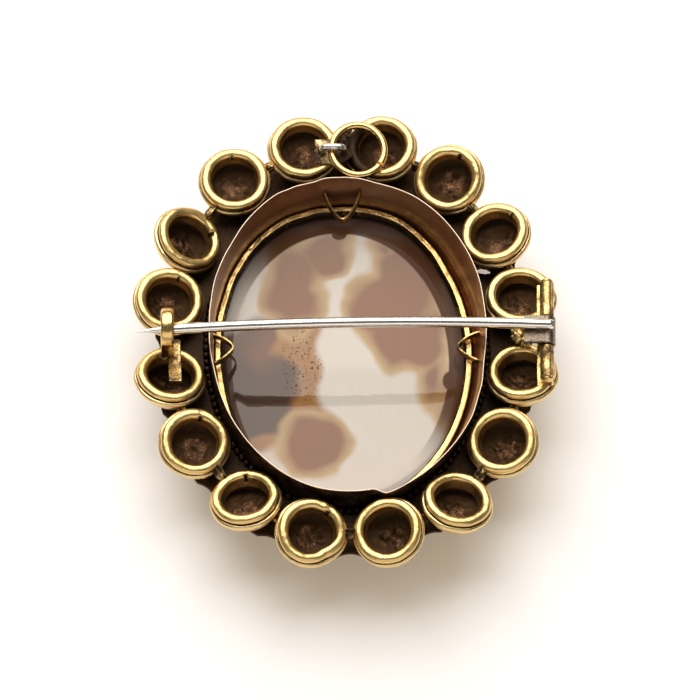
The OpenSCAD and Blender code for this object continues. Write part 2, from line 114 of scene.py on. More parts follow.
# Smoky zones, where the clear stone shows the dark behind it: same columns
SMOKE_ZONES = [(-9.4, -0.6, 4.5, 5.0), (-8.9, -5.4, 4.0, 4.4), (-6.6, -3.6, 2.3, 2.8)]

# Leaves of the carved front: direction in degrees, distance of the middle in mm
LEAVES = [(62, 8.6), (90, 9.6), (118, 8.6), (200, 7.4), (340, 7.4), (242, 8.6), (270, 9.6), (298, 8.6)]


def mix(a, b, share):
    return a + (b - a) * share


def steps(a, b, count):
    """Even values from a to b, count of them after a."""
    return [mix(a, b, k / count) for k in range(count + 1)]


def smooth(low, high, value):
    """0 below low, 1 above high, with a soft step between."""
    t = min(1.0, max(0.0, (value - low) / (high - low)))
    return t * t * (3 - 2 * t)


def wobble(x, y, z, seed=0.0):
    """Even noise from -1 to 1."""
    return noise.noise(Vector((x + seed * 7.3, y - seed * 3.1, z + seed * 5.7)))


def length(name, description, default):
    return bpy.props.FloatProperty(name=name, description=description, default=default, unit="LENGTH")


def tint(name, description, default):
    return bpy.props.FloatVectorProperty(
        name=name, description=description, default=default, subtype="COLOR"
    )


class BroochSizes(bpy.types.PropertyGroup):
    """Lengths of the brooch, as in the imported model."""

    stone_length: length("Stone length", "Length of the stone", 0.0334)
    stone_width: length("Stone width", "Width of the stone", 0.0258)
    stone_back: length("Stone back", "Height of the stone's flat back", 0.0038)
    stone_front: length("Stone front", "Height of the stone's front field", 0.00135)
    stone_edge: length("Stone edge", "Width of the rounded edge", 0.0026)
    stone_shift: length("Stone shift", "Distance of the stone to the left", 0.0004)
    wall: length("Wall", "Thickness of the bezel's wall", 0.0004)
    rim_height: length("Rim height", "Height of the rim above the stone", 0.0062)
    side_flare: length("Side flare", "Distance the rim leans out", 0.0004)
    boss_radius: length("Boss radius", "Outer radius of a boss", 0.00355)
    boss_depth: length("Boss depth", "Depth from lip to round bottom", 0.0036)
    dish_depth: length("Dish depth", "Depth of the round bottom", 0.0022)
    lip_drop: length("Lip drop", "Distance of the lips below the rim", 0.00095)
    lip_wire: length("Lip", "Thickness of the rolled lip", 0.0011)
    lip_radius: length("Lip radius", "Radius to the middle of the lip", 0.0029)
    plate: length("Plate", "Height of the gallery plate above the stone", 0.0014)
    bead: length("Bead", "Thickness of the beaded wire", 0.00075)
    stem_radius: length("Stem radius", "Radius of the pin stem", 0.0005)
    stem_reach: length("Stem reach", "Distance of the stem's point", 0.0212)
    hinge_x: length("Hinge", "Distance of the hinge pin", 0.01985)
    knuckle_radius: length("Knuckle radius", "Radius of the knuckles", 0.00085)
    hook_radius: length("Hook radius", "Inner radius of the hook", 0.00165)
    bail_radius: length("Bail radius", "Radius of the bail ring", 0.0026)
    bail_wire: length("Bail wire", "Thickness of the bail ring", 0.00065)


class BroochColours(bpy.types.PropertyGroup):
    """Colours of the brooch's finishes."""

    yellow_gold: tint("Yellow gold", "Polished lips", (0.82, 0.56, 0.22))
    rose_gold: tint("Rose gold", "Bosses and solder", (0.85, 0.62, 0.30))
    # Near-black metal: tarnish, and painted shade in the deep gap under the bezel
    dull_gold: tint("Dull gold", "Dull metal of the plate and the beads", (0.115, 0.055, 0.03))
    bezel_gold: tint("Bezel gold", "Reddish wall of the bezel", (0.43, 0.26, 0.165))
    # Rim colour: worn pale metal on the rim's top edge, and also a painted highlight along that bright
    # edge
    rim_gold: tint("Rim gold", "Worn pale edge of the bezel", (0.60, 0.48, 0.38))
    tarnish: tint("Tarnish", "Dark film in the hollows", (0.045, 0.027, 0.016))
    # Boss inside: near-black metal, darkened as painted shade in the bosses' hollows
    shaded_boss_inside: tint("Boss inside", "Dull metal inside the bosses", (0.05, 0.026, 0.012))
    # Foil: bright, it paints the highlights along the creases of the crumpled foil
    foil: tint("Foil", "Crumpled metal inside the bosses", (0.9, 0.48, 0.27))
    # Tongue metal: worn base metal, darkened also as painted shade under the stem
    worn_and_shaded_silver: tint("Worn silver", "Dull metal of the pin's tongue", (0.20, 0.16, 0.12))
    silver: tint("Silver", "White metal of the pin", (0.92, 0.88, 0.81))
    stone_milk: tint("Milky stone", "White of the stone", (0.60, 0.55, 0.49))
    stone_tan: tint("Tan stone", "Edge of the coloured zones", (0.41, 0.26, 0.11))
    stone_mauve: tint("Mauve stone", "Coloured zones", (0.215, 0.08, 0.03))
    # Stone rim: painted shadow and dark reflection that the bezel wall casts along the stone's top and
    # right edge
    stone_rim: tint("Stone rim", "Brown band along the edge", (0.085, 0.033, 0.017))
    stone_smoke: tint("Smoky stone", "Clear, dark zones", (0.06, 0.035, 0.025))
    floor: tint("Floor", "Pale floor", (0.9, 0.92, 0.97))
    floor_glow: tint("Floor glow", "Warm light of the floor itself", (0.2, 0.135, 0.055))


def sizes():
    """Sizes in millimetres, by name."""
    holder = bpy.context.scene.brooch_sizes
    return SimpleNamespace(**{name: getattr(holder, name) / MM for name in BroochSizes.__annotations__})


def colour(name):
    return (*getattr(bpy.context.scene.brooch_colours, name), 1.0)


# Shape of the bezel and places of the bosses


def base_half(s):
    """Half width and half length of the bezel's foot, just wider than the stone."""
    fit = STONE_GAP + s.wall
    return s.stone_width / 2 + fit, s.stone_length / 2 + fit


def rim_z(s):
    return s.stone_back + s.rim_height


def lip_z(s):
    return rim_z(s) - s.lip_drop


def hinge_z(s):
    return lip_z(s) + HINGE_LIFT


def apart(first, second):
    """Difference of two angles in degrees, either way round."""
    return abs((first - second + 180) % 360 - 180)


def bend_at(rows, angle):
    """Distance pushed out at an angle in radians."""
    turn = (degrees(angle) + 180) % 360 - 180
    for (start, first), (end, last) in zip(rows, rows[1:]):
        if start <= turn < end:
            return mix(first, last, smooth(start, end, turn))
    return 0.0


def pushed(x, y, push):
    """Place moved outwards by a distance."""
    reach = 1 + push / hypot(x, y)
    return x * reach, y * reach


def flare_at(s, z):
    """Share of the flare at a height."""
    start = s.stone_back + 0.4
    share = (z - start) / (rim_z(s) - start)
    if share <= 0:
        return 0.0
    for (low, a), (high, b) in zip(WALL_ROWS, WALL_ROWS[1:]):
        if share <= high:
            return mix(a, b, (share - low) / (high - low))
    return 1.0


def wall_oval(s, z, inset, angle):
    """Point of the bezel's wall at a height, an inset and an angle."""
    share = flare_at(s, z)
    half_x, half_y = base_half(s)
    x = -s.stone_shift * (1 - share) + (half_x + s.side_flare * share - inset) * cos(angle)
    y = (half_y - inset) * sin(angle)
    foot = 1 - smooth(s.stone_back + 1, rim_z(s), z)
    return pushed(x, y, bend_at(FOOT_BENDS, angle) * foot)


def boss_oval(s, turn, out):
    """Point of the oval that the bosses stand on, and a distance outwards from it."""
    half_x, half_y = base_half(s)
    reach = BOSS_GAP + s.boss_radius
    half_x, half_y = half_x + s.side_flare + reach, half_y + reach
    c, d = cos(radians(turn)), sin(radians(turn))
    across = Vector((c / half_x, d / half_y)).normalized()
    return Vector((BOSS_MIDDLE[0] + half_x * c, BOSS_MIDDLE[1] + half_y * d)) + across * out


def boss_turn(i):
    """Angle of a boss along the oval, in degrees."""
    return 360 * (i + 0.5) / len(BOSSES) + BOSS_ROWS[i % len(BOSSES)][0]


def boss_place(s, i):
    """Middle of a boss at its lip."""
    p = boss_oval(s, boss_turn(i), BOSS_ROWS[i][1] * s.boss_radius)
    return Vector((p.x, p.y, lip_z(s)))


def boss_turned(i):
    """Turn of a boss by its lean."""
    lean_x, lean_y = BOSS_ROWS[i][2:]
    return Matrix.Rotation(radians(lean_x), 3, "Y") @ Matrix.Rotation(radians(-lean_y), 3, "X")


def side_middle(s, i):
    """Middle of a boss at the height of its upright side."""
    return boss_place(s, i) - boss_turned(i) @ Vector((0, 0, s.lip_wire))


# Mesh making: a shape is a pair of points in millimetres and faces


def turns_of(count):
    """Angles of the points of a ring."""
    return [2 * pi * i / count for i in range(count)]


def level_ring(half_x, half_y, z, count):
    """Oval ring that lies flat round the Z axis."""
    return [(half_x * cos(a), half_y * sin(a), z) for a in turns_of(count)]


def upright_ring(x, y, z, radius, count):
    """Round ring that stands across the Y direction."""
    return [(x + radius * cos(a), y, z + radius * sin(a)) for a in turns_of(count)]


def ring_rows(rows, count, point):
    """Rings with a point for each row and angle."""
    return [[point(*row, a) for a in turns_of(count)] for row in rows]


def loft(rings, along=False):
    """Shape through closed rings; along joins the last ring to the first."""
    width = len(rings[0])
    faces = []
    for r in range(len(rings) if along else len(rings) - 1):
        for i in range(width):
            j, n = (i + 1) % width, (r + 1) % len(rings)
            faces.append((r * width + i, r * width + j, n * width + j, n * width + i))
    return [p for ring in rings for p in ring], faces


def capped(rings):
    """Loft with a flat face on its first and its last ring."""
    points, faces = loft(rings)
    width, count = len(rings[0]), len(points)
    return points, faces + [tuple(range(width - 1, -1, -1)), tuple(range(count - width, count))]


def poled(rings, first, last):
    """Loft with its first and its last ring closed round a point each."""
    points, faces = loft(rings)
    width, count = len(rings[0]), len(points)
    end = count - width
    faces += [(count, (i + 1) % width, i) for i in range(width)]
    faces += [(count + 1, end + i, end + (i + 1) % width) for i in range(width)]
    return points + [first, last], faces


def joined(parts):
    """Several shapes as one."""
    points, faces = [], []
    for some, more in parts:
        start = len(points)
        points += some
        faces += [tuple(i + start for i in face) for face in more]
    return points, faces


def sweep(path, section, up=(0, 0, 1)):
    """Tube along a path. section(share) gives points (side, up) round the path."""
    path = [Vector(p) for p in path]
    last = len(path) - 1
    rings = []
    for k, p in enumerate(path):
        along = (path[min(k + 1, last)] - path[max(k - 1, 0)]).normalized()
        side = along.cross(Vector(up)).normalized()
        rise = side.cross(along).normalized()
        rings.append([tuple(p + side * a + rise * b) for a, b in section(k / last)])
    return capped(rings)


def round_section(radius, count):
    return [(radius * cos(a), radius * sin(a)) for a in turns_of(count)]


def strip_section(width, height, count, power=0.35):
    """Section of a flat strip with rounded edges."""

    def reach(size, value):
        return size / 2 * copysign(abs(value) ** power, value)

    return [(reach(width, cos(a)), reach(height, sin(a))) for a in turns_of(count)]


def arc(middle, radius, start, end, count, plane="yz"):
    """Points of an arc; angles in degrees."""
    x, y, z = middle
    turns = [radians(turn) for turn in steps(start, end, count)]
    sides = [(radius * cos(a), radius * sin(a)) for a in turns]
    return [(x, y + u, z + v) if plane == "yz" else (x + u, y, z + v) for u, v in sides]


def blob(middle, radii, seed, rough):
    """Closed lump of solder, uneven."""
    rings, sides = 14, 24
    rows = []
    for r in range(1, rings):
        t = pi * r / rings
        row = []
        for a in turns_of(sides):
            d = Vector((sin(t) * cos(a), sin(t) * sin(a), cos(t)))
            k = 1 + rough * wobble(*(d * 1.7), seed)
            row.append(tuple(m + n * q * k for m, n, q in zip(middle, d, radii)))
        rows.append(row)
    x, y, z = middle
    return poled(rows, (x, y, z + radii[2]), (x, y, z - radii[2]))


def knuckle_rows(bore, radius, start, end, count):
    """Radius and place of each ring of a knuckle with worn edges."""
    wear = 0.08
    low, high = start + wear, end - wear
    rows = [(bore, start), (radius - wear, start)] + [(radius, y) for y in steps(low, high, count)]
    return rows + [(radius - wear, end), (bore, end)]


def mesh_from(name, shape, marks=None):
    """Mesh in metres, with its marks as one value for each point."""
    points, faces = shape
    mesh = bpy.data.meshes.new(name)
    mesh.from_pydata([tuple(c * MM for c in p) for p in points], [], faces)
    for mark, values in (marks or {}).items():
        layer = mesh.attributes.new(mark, "FLOAT", "POINT")
        layer.data.foreach_set("value", values)
    return mesh


def face_outwards(mesh):
    work = bmesh.new()
    work.from_mesh(mesh)
    bmesh.ops.recalc_face_normals(work, faces=work.faces)
    work.to_mesh(mesh)
    work.free()


def show(name, data):
    """Object in the scene."""
    thing = bpy.data.objects.new(name, data)
    bpy.context.scene.collection.objects.link(thing)
    return thing


def finish_piece(name, mesh, material, nodes=("mount",), slot="gold", body=BODY, sharp=40):
    """Object at the origin that rides on a body and stands for CAD nodes."""
    face_outwards(mesh)
    mesh.materials.clear()
    mesh.materials.append(material)
    mesh.polygons.foreach_set("use_smooth", [True] * len(mesh.polygons))
    mesh.set_sharp_from_angle(angle=radians(sharp))
    piece = show(name, mesh)
    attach(piece, body)
    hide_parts(*nodes)


def shape_piece(name, shape, film, material, **more):
    """Piece of a shape; film is the depth of its tarnish, for all points or for each."""
    if isinstance(film, float):
        film = [film] * len(shape[0])
    finish_piece(name, mesh_from(name, shape, {"hollow": film}), material, **more)


def grown(name, carrier, kind, settings, values=None):
    """Plain mesh that a modifier makes of a carrier mesh."""
    holder = show(name + " carrier", carrier)
    maker = holder.modifiers.new("make", kind)
    for key, value in settings.items():
        setattr(maker, key, value)
    for key, value in (values or {}).items():
        maker[key] = value
    bpy.context.view_layer.update()
    seen = holder.evaluated_get(bpy.context.evaluated_depsgraph_get())
    mesh = bpy.data.meshes.new_from_object(seen)
    mesh.name = name
    holder.modifiers.remove(maker)
    bpy.data.objects.remove(holder)
    return mesh


# Node helpers


def plug(tree, node, values):
    """Sets or links a node's inputs, by name or number."""
    for key, value in values.items():
        if isinstance(value, bpy.types.NodeSocket):
            tree.links.new(value, node.inputs[key])
        else:
            node.inputs[key].default_value = value
    return node


def add(tree, kind, values=None, **settings):
    """New node with its settings and inputs."""
    new = tree.nodes.new(kind)
    for key, value in settings.items():
        setattr(new, key, value)
    return plug(tree, new, values or {})


def shader_group(name, inputs, output):
    """Empty group for a mask or height; inputs have a default, or None for a vector."""
    tree = bpy.data.node_groups.new(name, "ShaderNodeTree")
    for label, default in inputs.items():
        kind = "NodeSocketVector" if default is None else "NodeSocketFloat"
        socket = tree.interface.new_socket(label, in_out="INPUT", socket_type=kind)
        if default is not None:
            socket.default_value = default
    tree.interface.new_socket(output, in_out="OUTPUT", socket_type="NodeSocketFloat")
    return tree, tree.nodes.new("NodeGroupInput").outputs, tree.nodes.new("NodeGroupOutput")


def use(tree, name, values):
    """Output of a shader group with its own values."""
    new = tree.nodes.new("ShaderNodeGroup")
    new.node_tree = bpy.data.node_groups[name]
    return plug(tree, new, values).outputs[0]


def blend_colour(tree, share, first, second, how="MIX"):
    """Colour between two colours: the first at share 0, the second at 1."""
    new = add(tree, "ShaderNodeMix", {0: share, 6: first, 7: second}, data_type="RGBA", blend_type=how)
    return new.outputs[2]


def maths(tree, how, a, b=0.0, c=0.0):
    return add(tree, "ShaderNodeMath", {0: a, 1: b, 2: c}, operation=how).outputs[0]


def vectors(tree, how, a, b=(0, 0, 0)):
    """Vector, or value, of a sum with two vectors."""
    new = add(tree, "ShaderNodeVectorMath", {0: a, 1: b}, operation=how)
    return new.outputs["Value" if how in ("LENGTH", "DOT_PRODUCT") else "Vector"]


def spread(tree, value, low, high, first=0.0, second=1.0):
    """Value mapped softly from low..high to first..second."""
    values = {"Value": value, "From Min": low, "From Max": high, "To Min": first, "To Max": second}
    return add(tree, "ShaderNodeMapRange", values, interpolation_type="SMOOTHSTEP").outputs["Result"]


def place(tree):
    """Object coordinates in millimetres."""
    where = add(tree, "ShaderNodeTexCoord").outputs["Object"]
    return vectors(tree, "MULTIPLY", where, (1000, 1000, 1000))


def scaled(tree, vector, scale):
    return add(tree, "ShaderNodeMapping", {"Vector": vector, "Scale": scale}).outputs[0]


def noise_value(tree, vector, scale, detail=3.0, rough=0.55, bend=0.0, output="Fac"):
    values = {"Vector": vector, "Scale": scale, "Detail": detail, "Roughness": rough, "Distortion": bend}
    return add(tree, "ShaderNodeTexNoise", values).outputs[output]


def mark_value(tree, name):
    return add(tree, "ShaderNodeAttribute", attribute_name=name).outputs["Fac"]


def bumped(tree, height, strength, distance=0.0002):
    values = {"Height": height, "Strength": strength, "Distance": distance}
    return add(tree, "ShaderNodeBump", values).outputs[0]


# Shader groups that several finishes share


def make_groups():
    """Film of tarnish, worked surface and oval zone."""
    tree, start, end = shader_group(
        "tarnish film", {"Vector": None, "Hollow": 0.0, "Scale": 0.6, "Amount": 0.5}, "Mask"
    )
    wide = noise_value(tree, start["Vector"], start["Scale"], 4.0, 0.6, 0.4)
    fine = noise_value(tree, start["Vector"], 5.0, 3.0, 0.6)
    both = maths(tree, "ADD", maths(tree, "MULTIPLY_ADD", fine, 0.35, wide), start["Hollow"])
    edge = maths(tree, "SUBTRACT", 1.25, start["Amount"])
    plug(tree, end, {"Mask": spread(tree, both, edge, maths(tree, "ADD", edge, 0.35))})

    tree, start, end = shader_group(
        "worked metal", {"Vector": None, "Dents": 0.5, "Scratches": 0.3}, "Height"
    )
    dents = noise_value(tree, start["Vector"], 1.3, 2.0, 0.5)
    dents = maths(tree, "MULTIPLY", dents, start["Dents"])
    lines = noise_value(tree, scaled(tree, start["Vector"], (1.5, 9.0, 9.0)), 2.2, 4.0, 0.7, 0.6)
    lines = maths(tree, "MULTIPLY", lines, maths(tree, "MULTIPLY", start["Scratches"], 0.2))
    plug(tree, end, {"Height": maths(tree, "ADD", dents, lines)})

    tree, start, end = shader_group("soft zone", {"Vector": None, "Middle": None, "Half": None}, "Depth")
    away = vectors(tree, "SUBTRACT", start["Vector"], start["Middle"])
    far = vectors(tree, "LENGTH", vectors(tree, "DIVIDE", away, start["Half"]))
    plug(tree, end, {"Depth": maths(tree, "SUBTRACT", 1.0, far)})


# Finishes


def new_material(name):
    material = bpy.data.materials.new(name)
    material.use_nodes = True
    tree = material.node_tree
    return material, tree, next(n for n in tree.nodes if n.type == "BSDF_PRINCIPLED")


def film_mask(tree, where, amount):
    """Mask of the tarnish, deeper where the piece is marked hollow."""
    hollow = mark_value(tree, "hollow")
    return use(tree, "tarnish film", {"Vector": where, "Hollow": hollow, "Amount": amount})


def worked_height(tree, where, dents, scratches):
    return use(tree, "worked metal", {"Vector": where, "Dents": dents, "Scratches": scratches})


def metal(name, bright, film, rough, dents, scratches, bump, second=None):
    """Polished or tarnished metal; rough is for clean and dark places, second colours the lip."""
    material, tree, shader = new_material(name)
    where = place(tree)
    mask = film_mask(tree, where, film)
    base = colour(bright)
    if second:
        base = blend_colour(tree, mark_value(tree, "lip"), base, colour(second))
    warm = blend_colour(tree, noise_value(tree, where, 0.8), (0.82, 0.82, 0.82, 1), (1.06, 1.0, 0.96, 1))
    base = blend_colour(tree, 1.0, base, warm, "MULTIPLY")
    base = blend_colour(tree, mask, base, colour("tarnish"))
    gloss = spread(tree, noise_value(tree, where, 3.0), 0.3, 0.7, rough[0], rough[0] + 0.08)
    gloss = maths(tree, "MULTIPLY_ADD", mask, rough[1] - rough[0], gloss)
    normal = bumped(tree, worked_height(tree, where, dents, scratches), bump)
    plug(tree, shader, {"Base Color": base, "Metallic": 1.0, "Roughness": gloss, "Normal": normal})
    return material


def boss_metal():
    """Bosses: yellow polished lip, rosy body, inside painted dark as shade over plain metal, and crumpled
    foil on the floor with painted highlights along its creases.
    """
    material, tree, shader = new_material("boss gold")
    where = place(tree)
    inside, floor, lip = (mark_value(tree, n) for n in ("inside", "floor", "lip"))
    mask = film_mask(tree, where, 0.32)
    gold = blend_colour(tree, lip, colour("rose_gold"), colour("yellow_gold"))
    gold = blend_colour(tree, mask, gold, colour("tarnish"))
    bent = vectors(tree, "ADD", where, noise_value(tree, where, 1.4, 3.0, 0.6))
    # Thin fold lines in the foil, painted bright as highlights; they also raise the bump
    folds_and_glints = []
    for scale, wide, share in ((1.4, 0.03, 1.0), (2.8, 0.035, 0.45)):
        field = noise_value(tree, bent, scale, 2.0, 0.5, 0.9)
        away = maths(tree, "ABSOLUTE", maths(tree, "SUBTRACT", field, 0.5))
        folds_and_glints.append(maths(tree, "MULTIPLY", spread(tree, away, 0.0, wide, 1.0, 0.0), share))
    patch = maths(tree, "MULTIPLY_ADD", noise_value(tree, where, 0.9), 2.4, floor)
    patch = spread(tree, patch, 1.95, 2.6)
    folds_and_glints = maths(tree, "MULTIPLY", maths(tree, "MAXIMUM", *folds_and_glints), patch)
    foil = colour("foil")
    # The dark inside of each boss is plain metal with painted shade
    deep = blend_colour(tree, maths(tree, "MULTIPLY", patch, 0.12), colour("shaded_boss_inside"), foil)
    deep = blend_colour(tree, folds_and_glints, deep, foil)
    deep = blend_colour(tree, maths(tree, "MULTIPLY", mask, 0.3), deep, colour("tarnish"))
    base = blend_colour(tree, inside, gold, deep)
    gloss = spread(tree, noise_value(tree, where, 1.2), 0.3, 0.7, 0.27, 0.37)
    gloss = maths(tree, "MULTIPLY_ADD", mask, 0.25, gloss)
    gloss = maths(tree, "MULTIPLY_ADD", inside, 0.22, gloss)
    height = worked_height(tree, where, 0.5, 0.15)
    height = maths(tree, "MULTIPLY_ADD", folds_and_glints, maths(tree, "MULTIPLY", inside, 1.6), height)
    normal = bumped(tree, height, 0.35, 0.00025)
    plug(tree, shader, {"Base Color": base, "Metallic": 1.0, "Roughness": gloss, "Normal": normal})
    return material


def zone(tree, where, x, y, half_x, half_y):
    """Depth inside an oval zone: 1 in its middle, 0 at its edge, less outside."""
    return use(tree, "soft zone", {"Vector": where, "Middle": (x, y, 0), "Half": (half_x, half_y, 1)})


def zone_depth(tree, where, rows):
    """Largest depth in millimetres inside any of the zones."""
    total = None
    for row in rows:
        depth = maths(tree, "MULTIPLY", zone(tree, where, *row), min(row[2:]))
        total = depth if total is None else maths(tree, "SMOOTH_MAX", total, depth, 0.8)
    return total


def stone_material():
    """Banded translucent stone: milk white with tan and mauve clouds and smoky clear parts, and a painted
    shadow and dark reflection of the wall and clips along its top and right edge.
    """
    material, tree, shader = new_material("banded stone")
    where = place(tree)
    flat = scaled(tree, where, (1, 1, 0))
    wander = noise_value(tree, flat, 0.3, 0.6, 0.4, output="Color")
    wander = vectors(tree, "SUBTRACT", wander, (0.5, 0.5, 0.5))
    moved = vectors(tree, "ADD", flat, vectors(tree, "MULTIPLY", wander, (3.0, 3.0, 0)))
    depth, light, smoke = (zone_depth(tree, moved, rows) for rows in (STONE_ZONES, TAN_ZONES, SMOKE_ZONES))
    stripes = noise_value(tree, scaled(tree, flat, (2.6, 0.12, 0)), 1.0)
    clouds = noise_value(tree, flat, 0.35, 4.0, 0.6)

    def shaded(base, value, low, high, other, most=1.0):
        """Base colour with another over it, where the value passes from low to high."""
        return blend_colour(tree, spread(tree, value, low, high, 0.0, most), base, other)

    milk = shaded(colour("stone_milk"), clouds, 0.35, 0.65, (0.60, 0.54, 0.46, 1))
    milk = shaded(milk, stripes, 0.4, 0.65, (0.55, 0.48, 0.40, 1), 0.15)
    tan = shaded(colour("stone_tan"), clouds, 0.3, 0.7, (0.44, 0.30, 0.14, 1))
    mauve = shaded(colour("stone_mauve"), stripes, 0.35, 0.65, (0.195, 0.08, 0.035, 1))
    base = shaded(milk, smoke, -0.6, 0.9, colour("stone_smoke"))
    base = shaded(base, zone(tree, moved, -7.8, 2.0, 4.6, 3.8), 0.0, 0.9, (0.18, 0.075, 0.042, 1), 0.7)
    base = shaded(base, light, -0.4, 0.7, (0.31, 0.15, 0.05, 1))
    base = shaded(base, depth, -0.45, 0.35, tan)
    base = shaded(base, depth, 0.1, 1.5, mauve)

    band = spread(tree, zone(tree, moved, -4.6, -0.6, 2.4, 5.4), 0.0, 0.4)
    specks = spread(tree, noise_value(tree, flat, 3.2, 3.0, 0.7), 0.555, 0.63)
    specks = maths(tree, "MULTIPLY", specks, band)
    base = blend_colour(tree, maths(tree, "MULTIPLY", specks, 0.8), base, (0.07, 0.02, 0.012, 1))

    # Painted shadow along the top and right edge, where the wall's shadow and dark reflection fall, with
    # bumps for the shadows of the top and right clips
    side = vectors(tree, "DOT_PRODUCT", flat, (0.6, 0.6, 0))
    rim = spread(tree, zone(tree, flat, -0.9, -0.3, 11.0, 14.4), -0.008, 0.008, 1.0, 0.0)
    dark = maths(tree, "MULTIPLY", rim, spread(tree, side, -3.5, 4.0))
    for clip_shadow, soft in (((-0.9, 14.0, 0.75, 0.6), 0.1), ((10.3, -2.2, 0.85, 1.1), 0.15)):
        dark = maths(tree, "MAXIMUM", dark, spread(tree, zone(tree, flat, *clip_shadow), -0.1, soft))
    base = blend_colour(tree, maths(tree, "MULTIPLY", dark, 0.92), base, colour("stone_rim"))
    # Less specular on the specks and on the painted shadow, which paints the wall's dark reflection
    matt_specks_and_shadow = maths(tree, "MAXIMUM", dark, specks)
    values = {
        "Base Color": base,
        "Specular IOR Level": maths(tree, "MULTIPLY_ADD", matt_specks_and_shadow, -0.42, 0.5),
        "IOR": 1.54,
        "Specular Tint": (1.0, 0.87, 0.78, 1),
        "Roughness": spread(tree, clouds, 0.3, 0.7, 0.03, 0.06),
        "Normal": bumped(tree, noise_value(tree, where, 0.5, 2.0), 0.05),
    }
    plug(tree, shader, values)
    return material


def floor_material():
    material, tree, shader = new_material("pale floor")
    grain = noise_value(tree, place(tree), 0.15, 4.0)
    pale = colour("floor")
    values = {
        "Base Color": blend_colour(tree, grain, pale, (*(c * 0.985 for c in pale[:3]), 1)),
        "Roughness": spread(tree, grain, 0.3, 0.7, 0.75, 0.85),
        "Specular IOR Level": 0.2,
        "Emission Color": colour("floor_glow"),
        "Emission Strength": 1.0,
    }
    plug(tree, shader, values)
    return material


# Geometry node trees


def grow_tree(name, inputs):
    """Tree with a mesh and named inputs, its two ends and the identifiers of the inputs."""
    tree = bpy.data.node_groups.new(name, "GeometryNodeTree")
    face = tree.interface
    face.new_socket("Geometry", in_out="INPUT", socket_type="NodeSocketGeometry")
    keys = {}
    for label, kind in inputs.items():
        socket = face.new_socket(label, in_out="INPUT", socket_type="NodeSocket" + kind)
        keys[label] = socket.identifier
    face.new_socket("Geometry", in_out="OUTPUT", socket_type="NodeSocketGeometry")
    return tree, tree.nodes.new("NodeGroupInput").outputs, tree.nodes.new("NodeGroupOutput"), keys


def clad(tree, shape, start, end):
    """Last node of a tree: its material on the shape."""
    done = add(tree, "GeometryNodeSetMaterial", {"Geometry": shape, "Material": start["Material"]})
    plug(tree, end, {"Geometry": done.outputs["Geometry"]})


def bead_tree():
    """Beads set along a path."""
    inputs = {"Pitch": "Float", "Bead Radius": "Float", "Material": "Material"}
    tree, start, end, keys = grow_tree("beads along a path", inputs)
    curve = add(tree, "GeometryNodeMeshToCurve", {"Mesh": start["Geometry"]}).outputs["Curve"]
    values = {"Curve": curve, "Length": start["Pitch"]}
    points = add(tree, "GeometryNodeResampleCurve", values, mode="LENGTH").outputs["Curve"]
    ball = add(tree, "GeometryNodeMeshIcoSphere", {"Radius": start["Bead Radius"], "Subdivisions": 3})
    size = add(tree, "FunctionNodeRandomValue", {2: 0.84, 3: 1.06, "Seed": 4}, data_type="FLOAT")
    values = {"Points": points, "Instance": ball.outputs["Mesh"], "Scale": size.outputs[1]}
    beads = add(tree, "GeometryNodeInstanceOnPoints", values).outputs["Instances"]
    real = add(tree, "GeometryNodeRealizeInstances", {"Geometry": beads}).outputs["Geometry"]
    clad(tree, real, start, end)
    return tree, keys


def boss_tree():
    """One boss set on every point, turned by the point's lean, then beaten uneven."""
    inputs = {"Boss": "Object", "Unevenness": "Float", "Material": "Material"}
    tree, start, end, keys = grow_tree("bosses on points", inputs)
    points = add(tree, "GeometryNodeMeshToPoints", {"Mesh": start["Geometry"]}).outputs["Points"]
    boss = add(tree, "GeometryNodeObjectInfo", {"Object": start["Boss"]}).outputs["Geometry"]
    lean = add(tree, "GeometryNodeInputNamedAttribute", {"Name": "lean"}, data_type="FLOAT_VECTOR")
    turn = add(tree, "FunctionNodeEulerToRotation", {"Euler": lean.outputs["Attribute"]}).outputs[0]
    values = {"Points": points, "Instance": boss, "Rotation": turn}
    bosses = add(tree, "GeometryNodeInstanceOnPoints", values).outputs["Instances"]
    real = add(tree, "GeometryNodeRealizeInstances", {"Geometry": bosses}).outputs["Geometry"]
    where = add(tree, "GeometryNodeInputPosition").outputs[0]
    shift = noise_value(tree, where, 420.0, 2.0, 0.5, output="Color")
    shift = vectors(tree, "SUBTRACT", shift, (0.5, 0.5, 0.5))
    shift = add(tree, "ShaderNodeVectorMath", {0: shift, 3: start["Unevenness"]}, operation="SCALE")
    values = {"Geometry": real, "Offset": shift.outputs[0]}
    beaten = add(tree, "GeometryNodeSetPosition", values).outputs["Geometry"]
    clad(tree, beaten, start, end)
    return tree, keys


# Stage and pieces

WHITE_LIGHT = (1.0, 0.985, 0.96)
FRAME_WIDTH, CAMERA_AWAY, CAMERA_TILT = 0.07, 1.5, radians(25)


def soft_light(name, spot, target, width, height, shine):
    """Rectangular light that faces its target."""
    data = bpy.data.lights.new(name, "AREA")
    data.shape = "RECTANGLE"
    data.size, data.size_y = width, height
    data.energy = shine * pi * width * height
    data.color = WHITE_LIGHT
    lamp = show(name, data)
    lamp.location = spot
    lamp.rotation_euler = (Vector(target) - Vector(spot)).to_track_quat("-Z", "Y").to_euler()


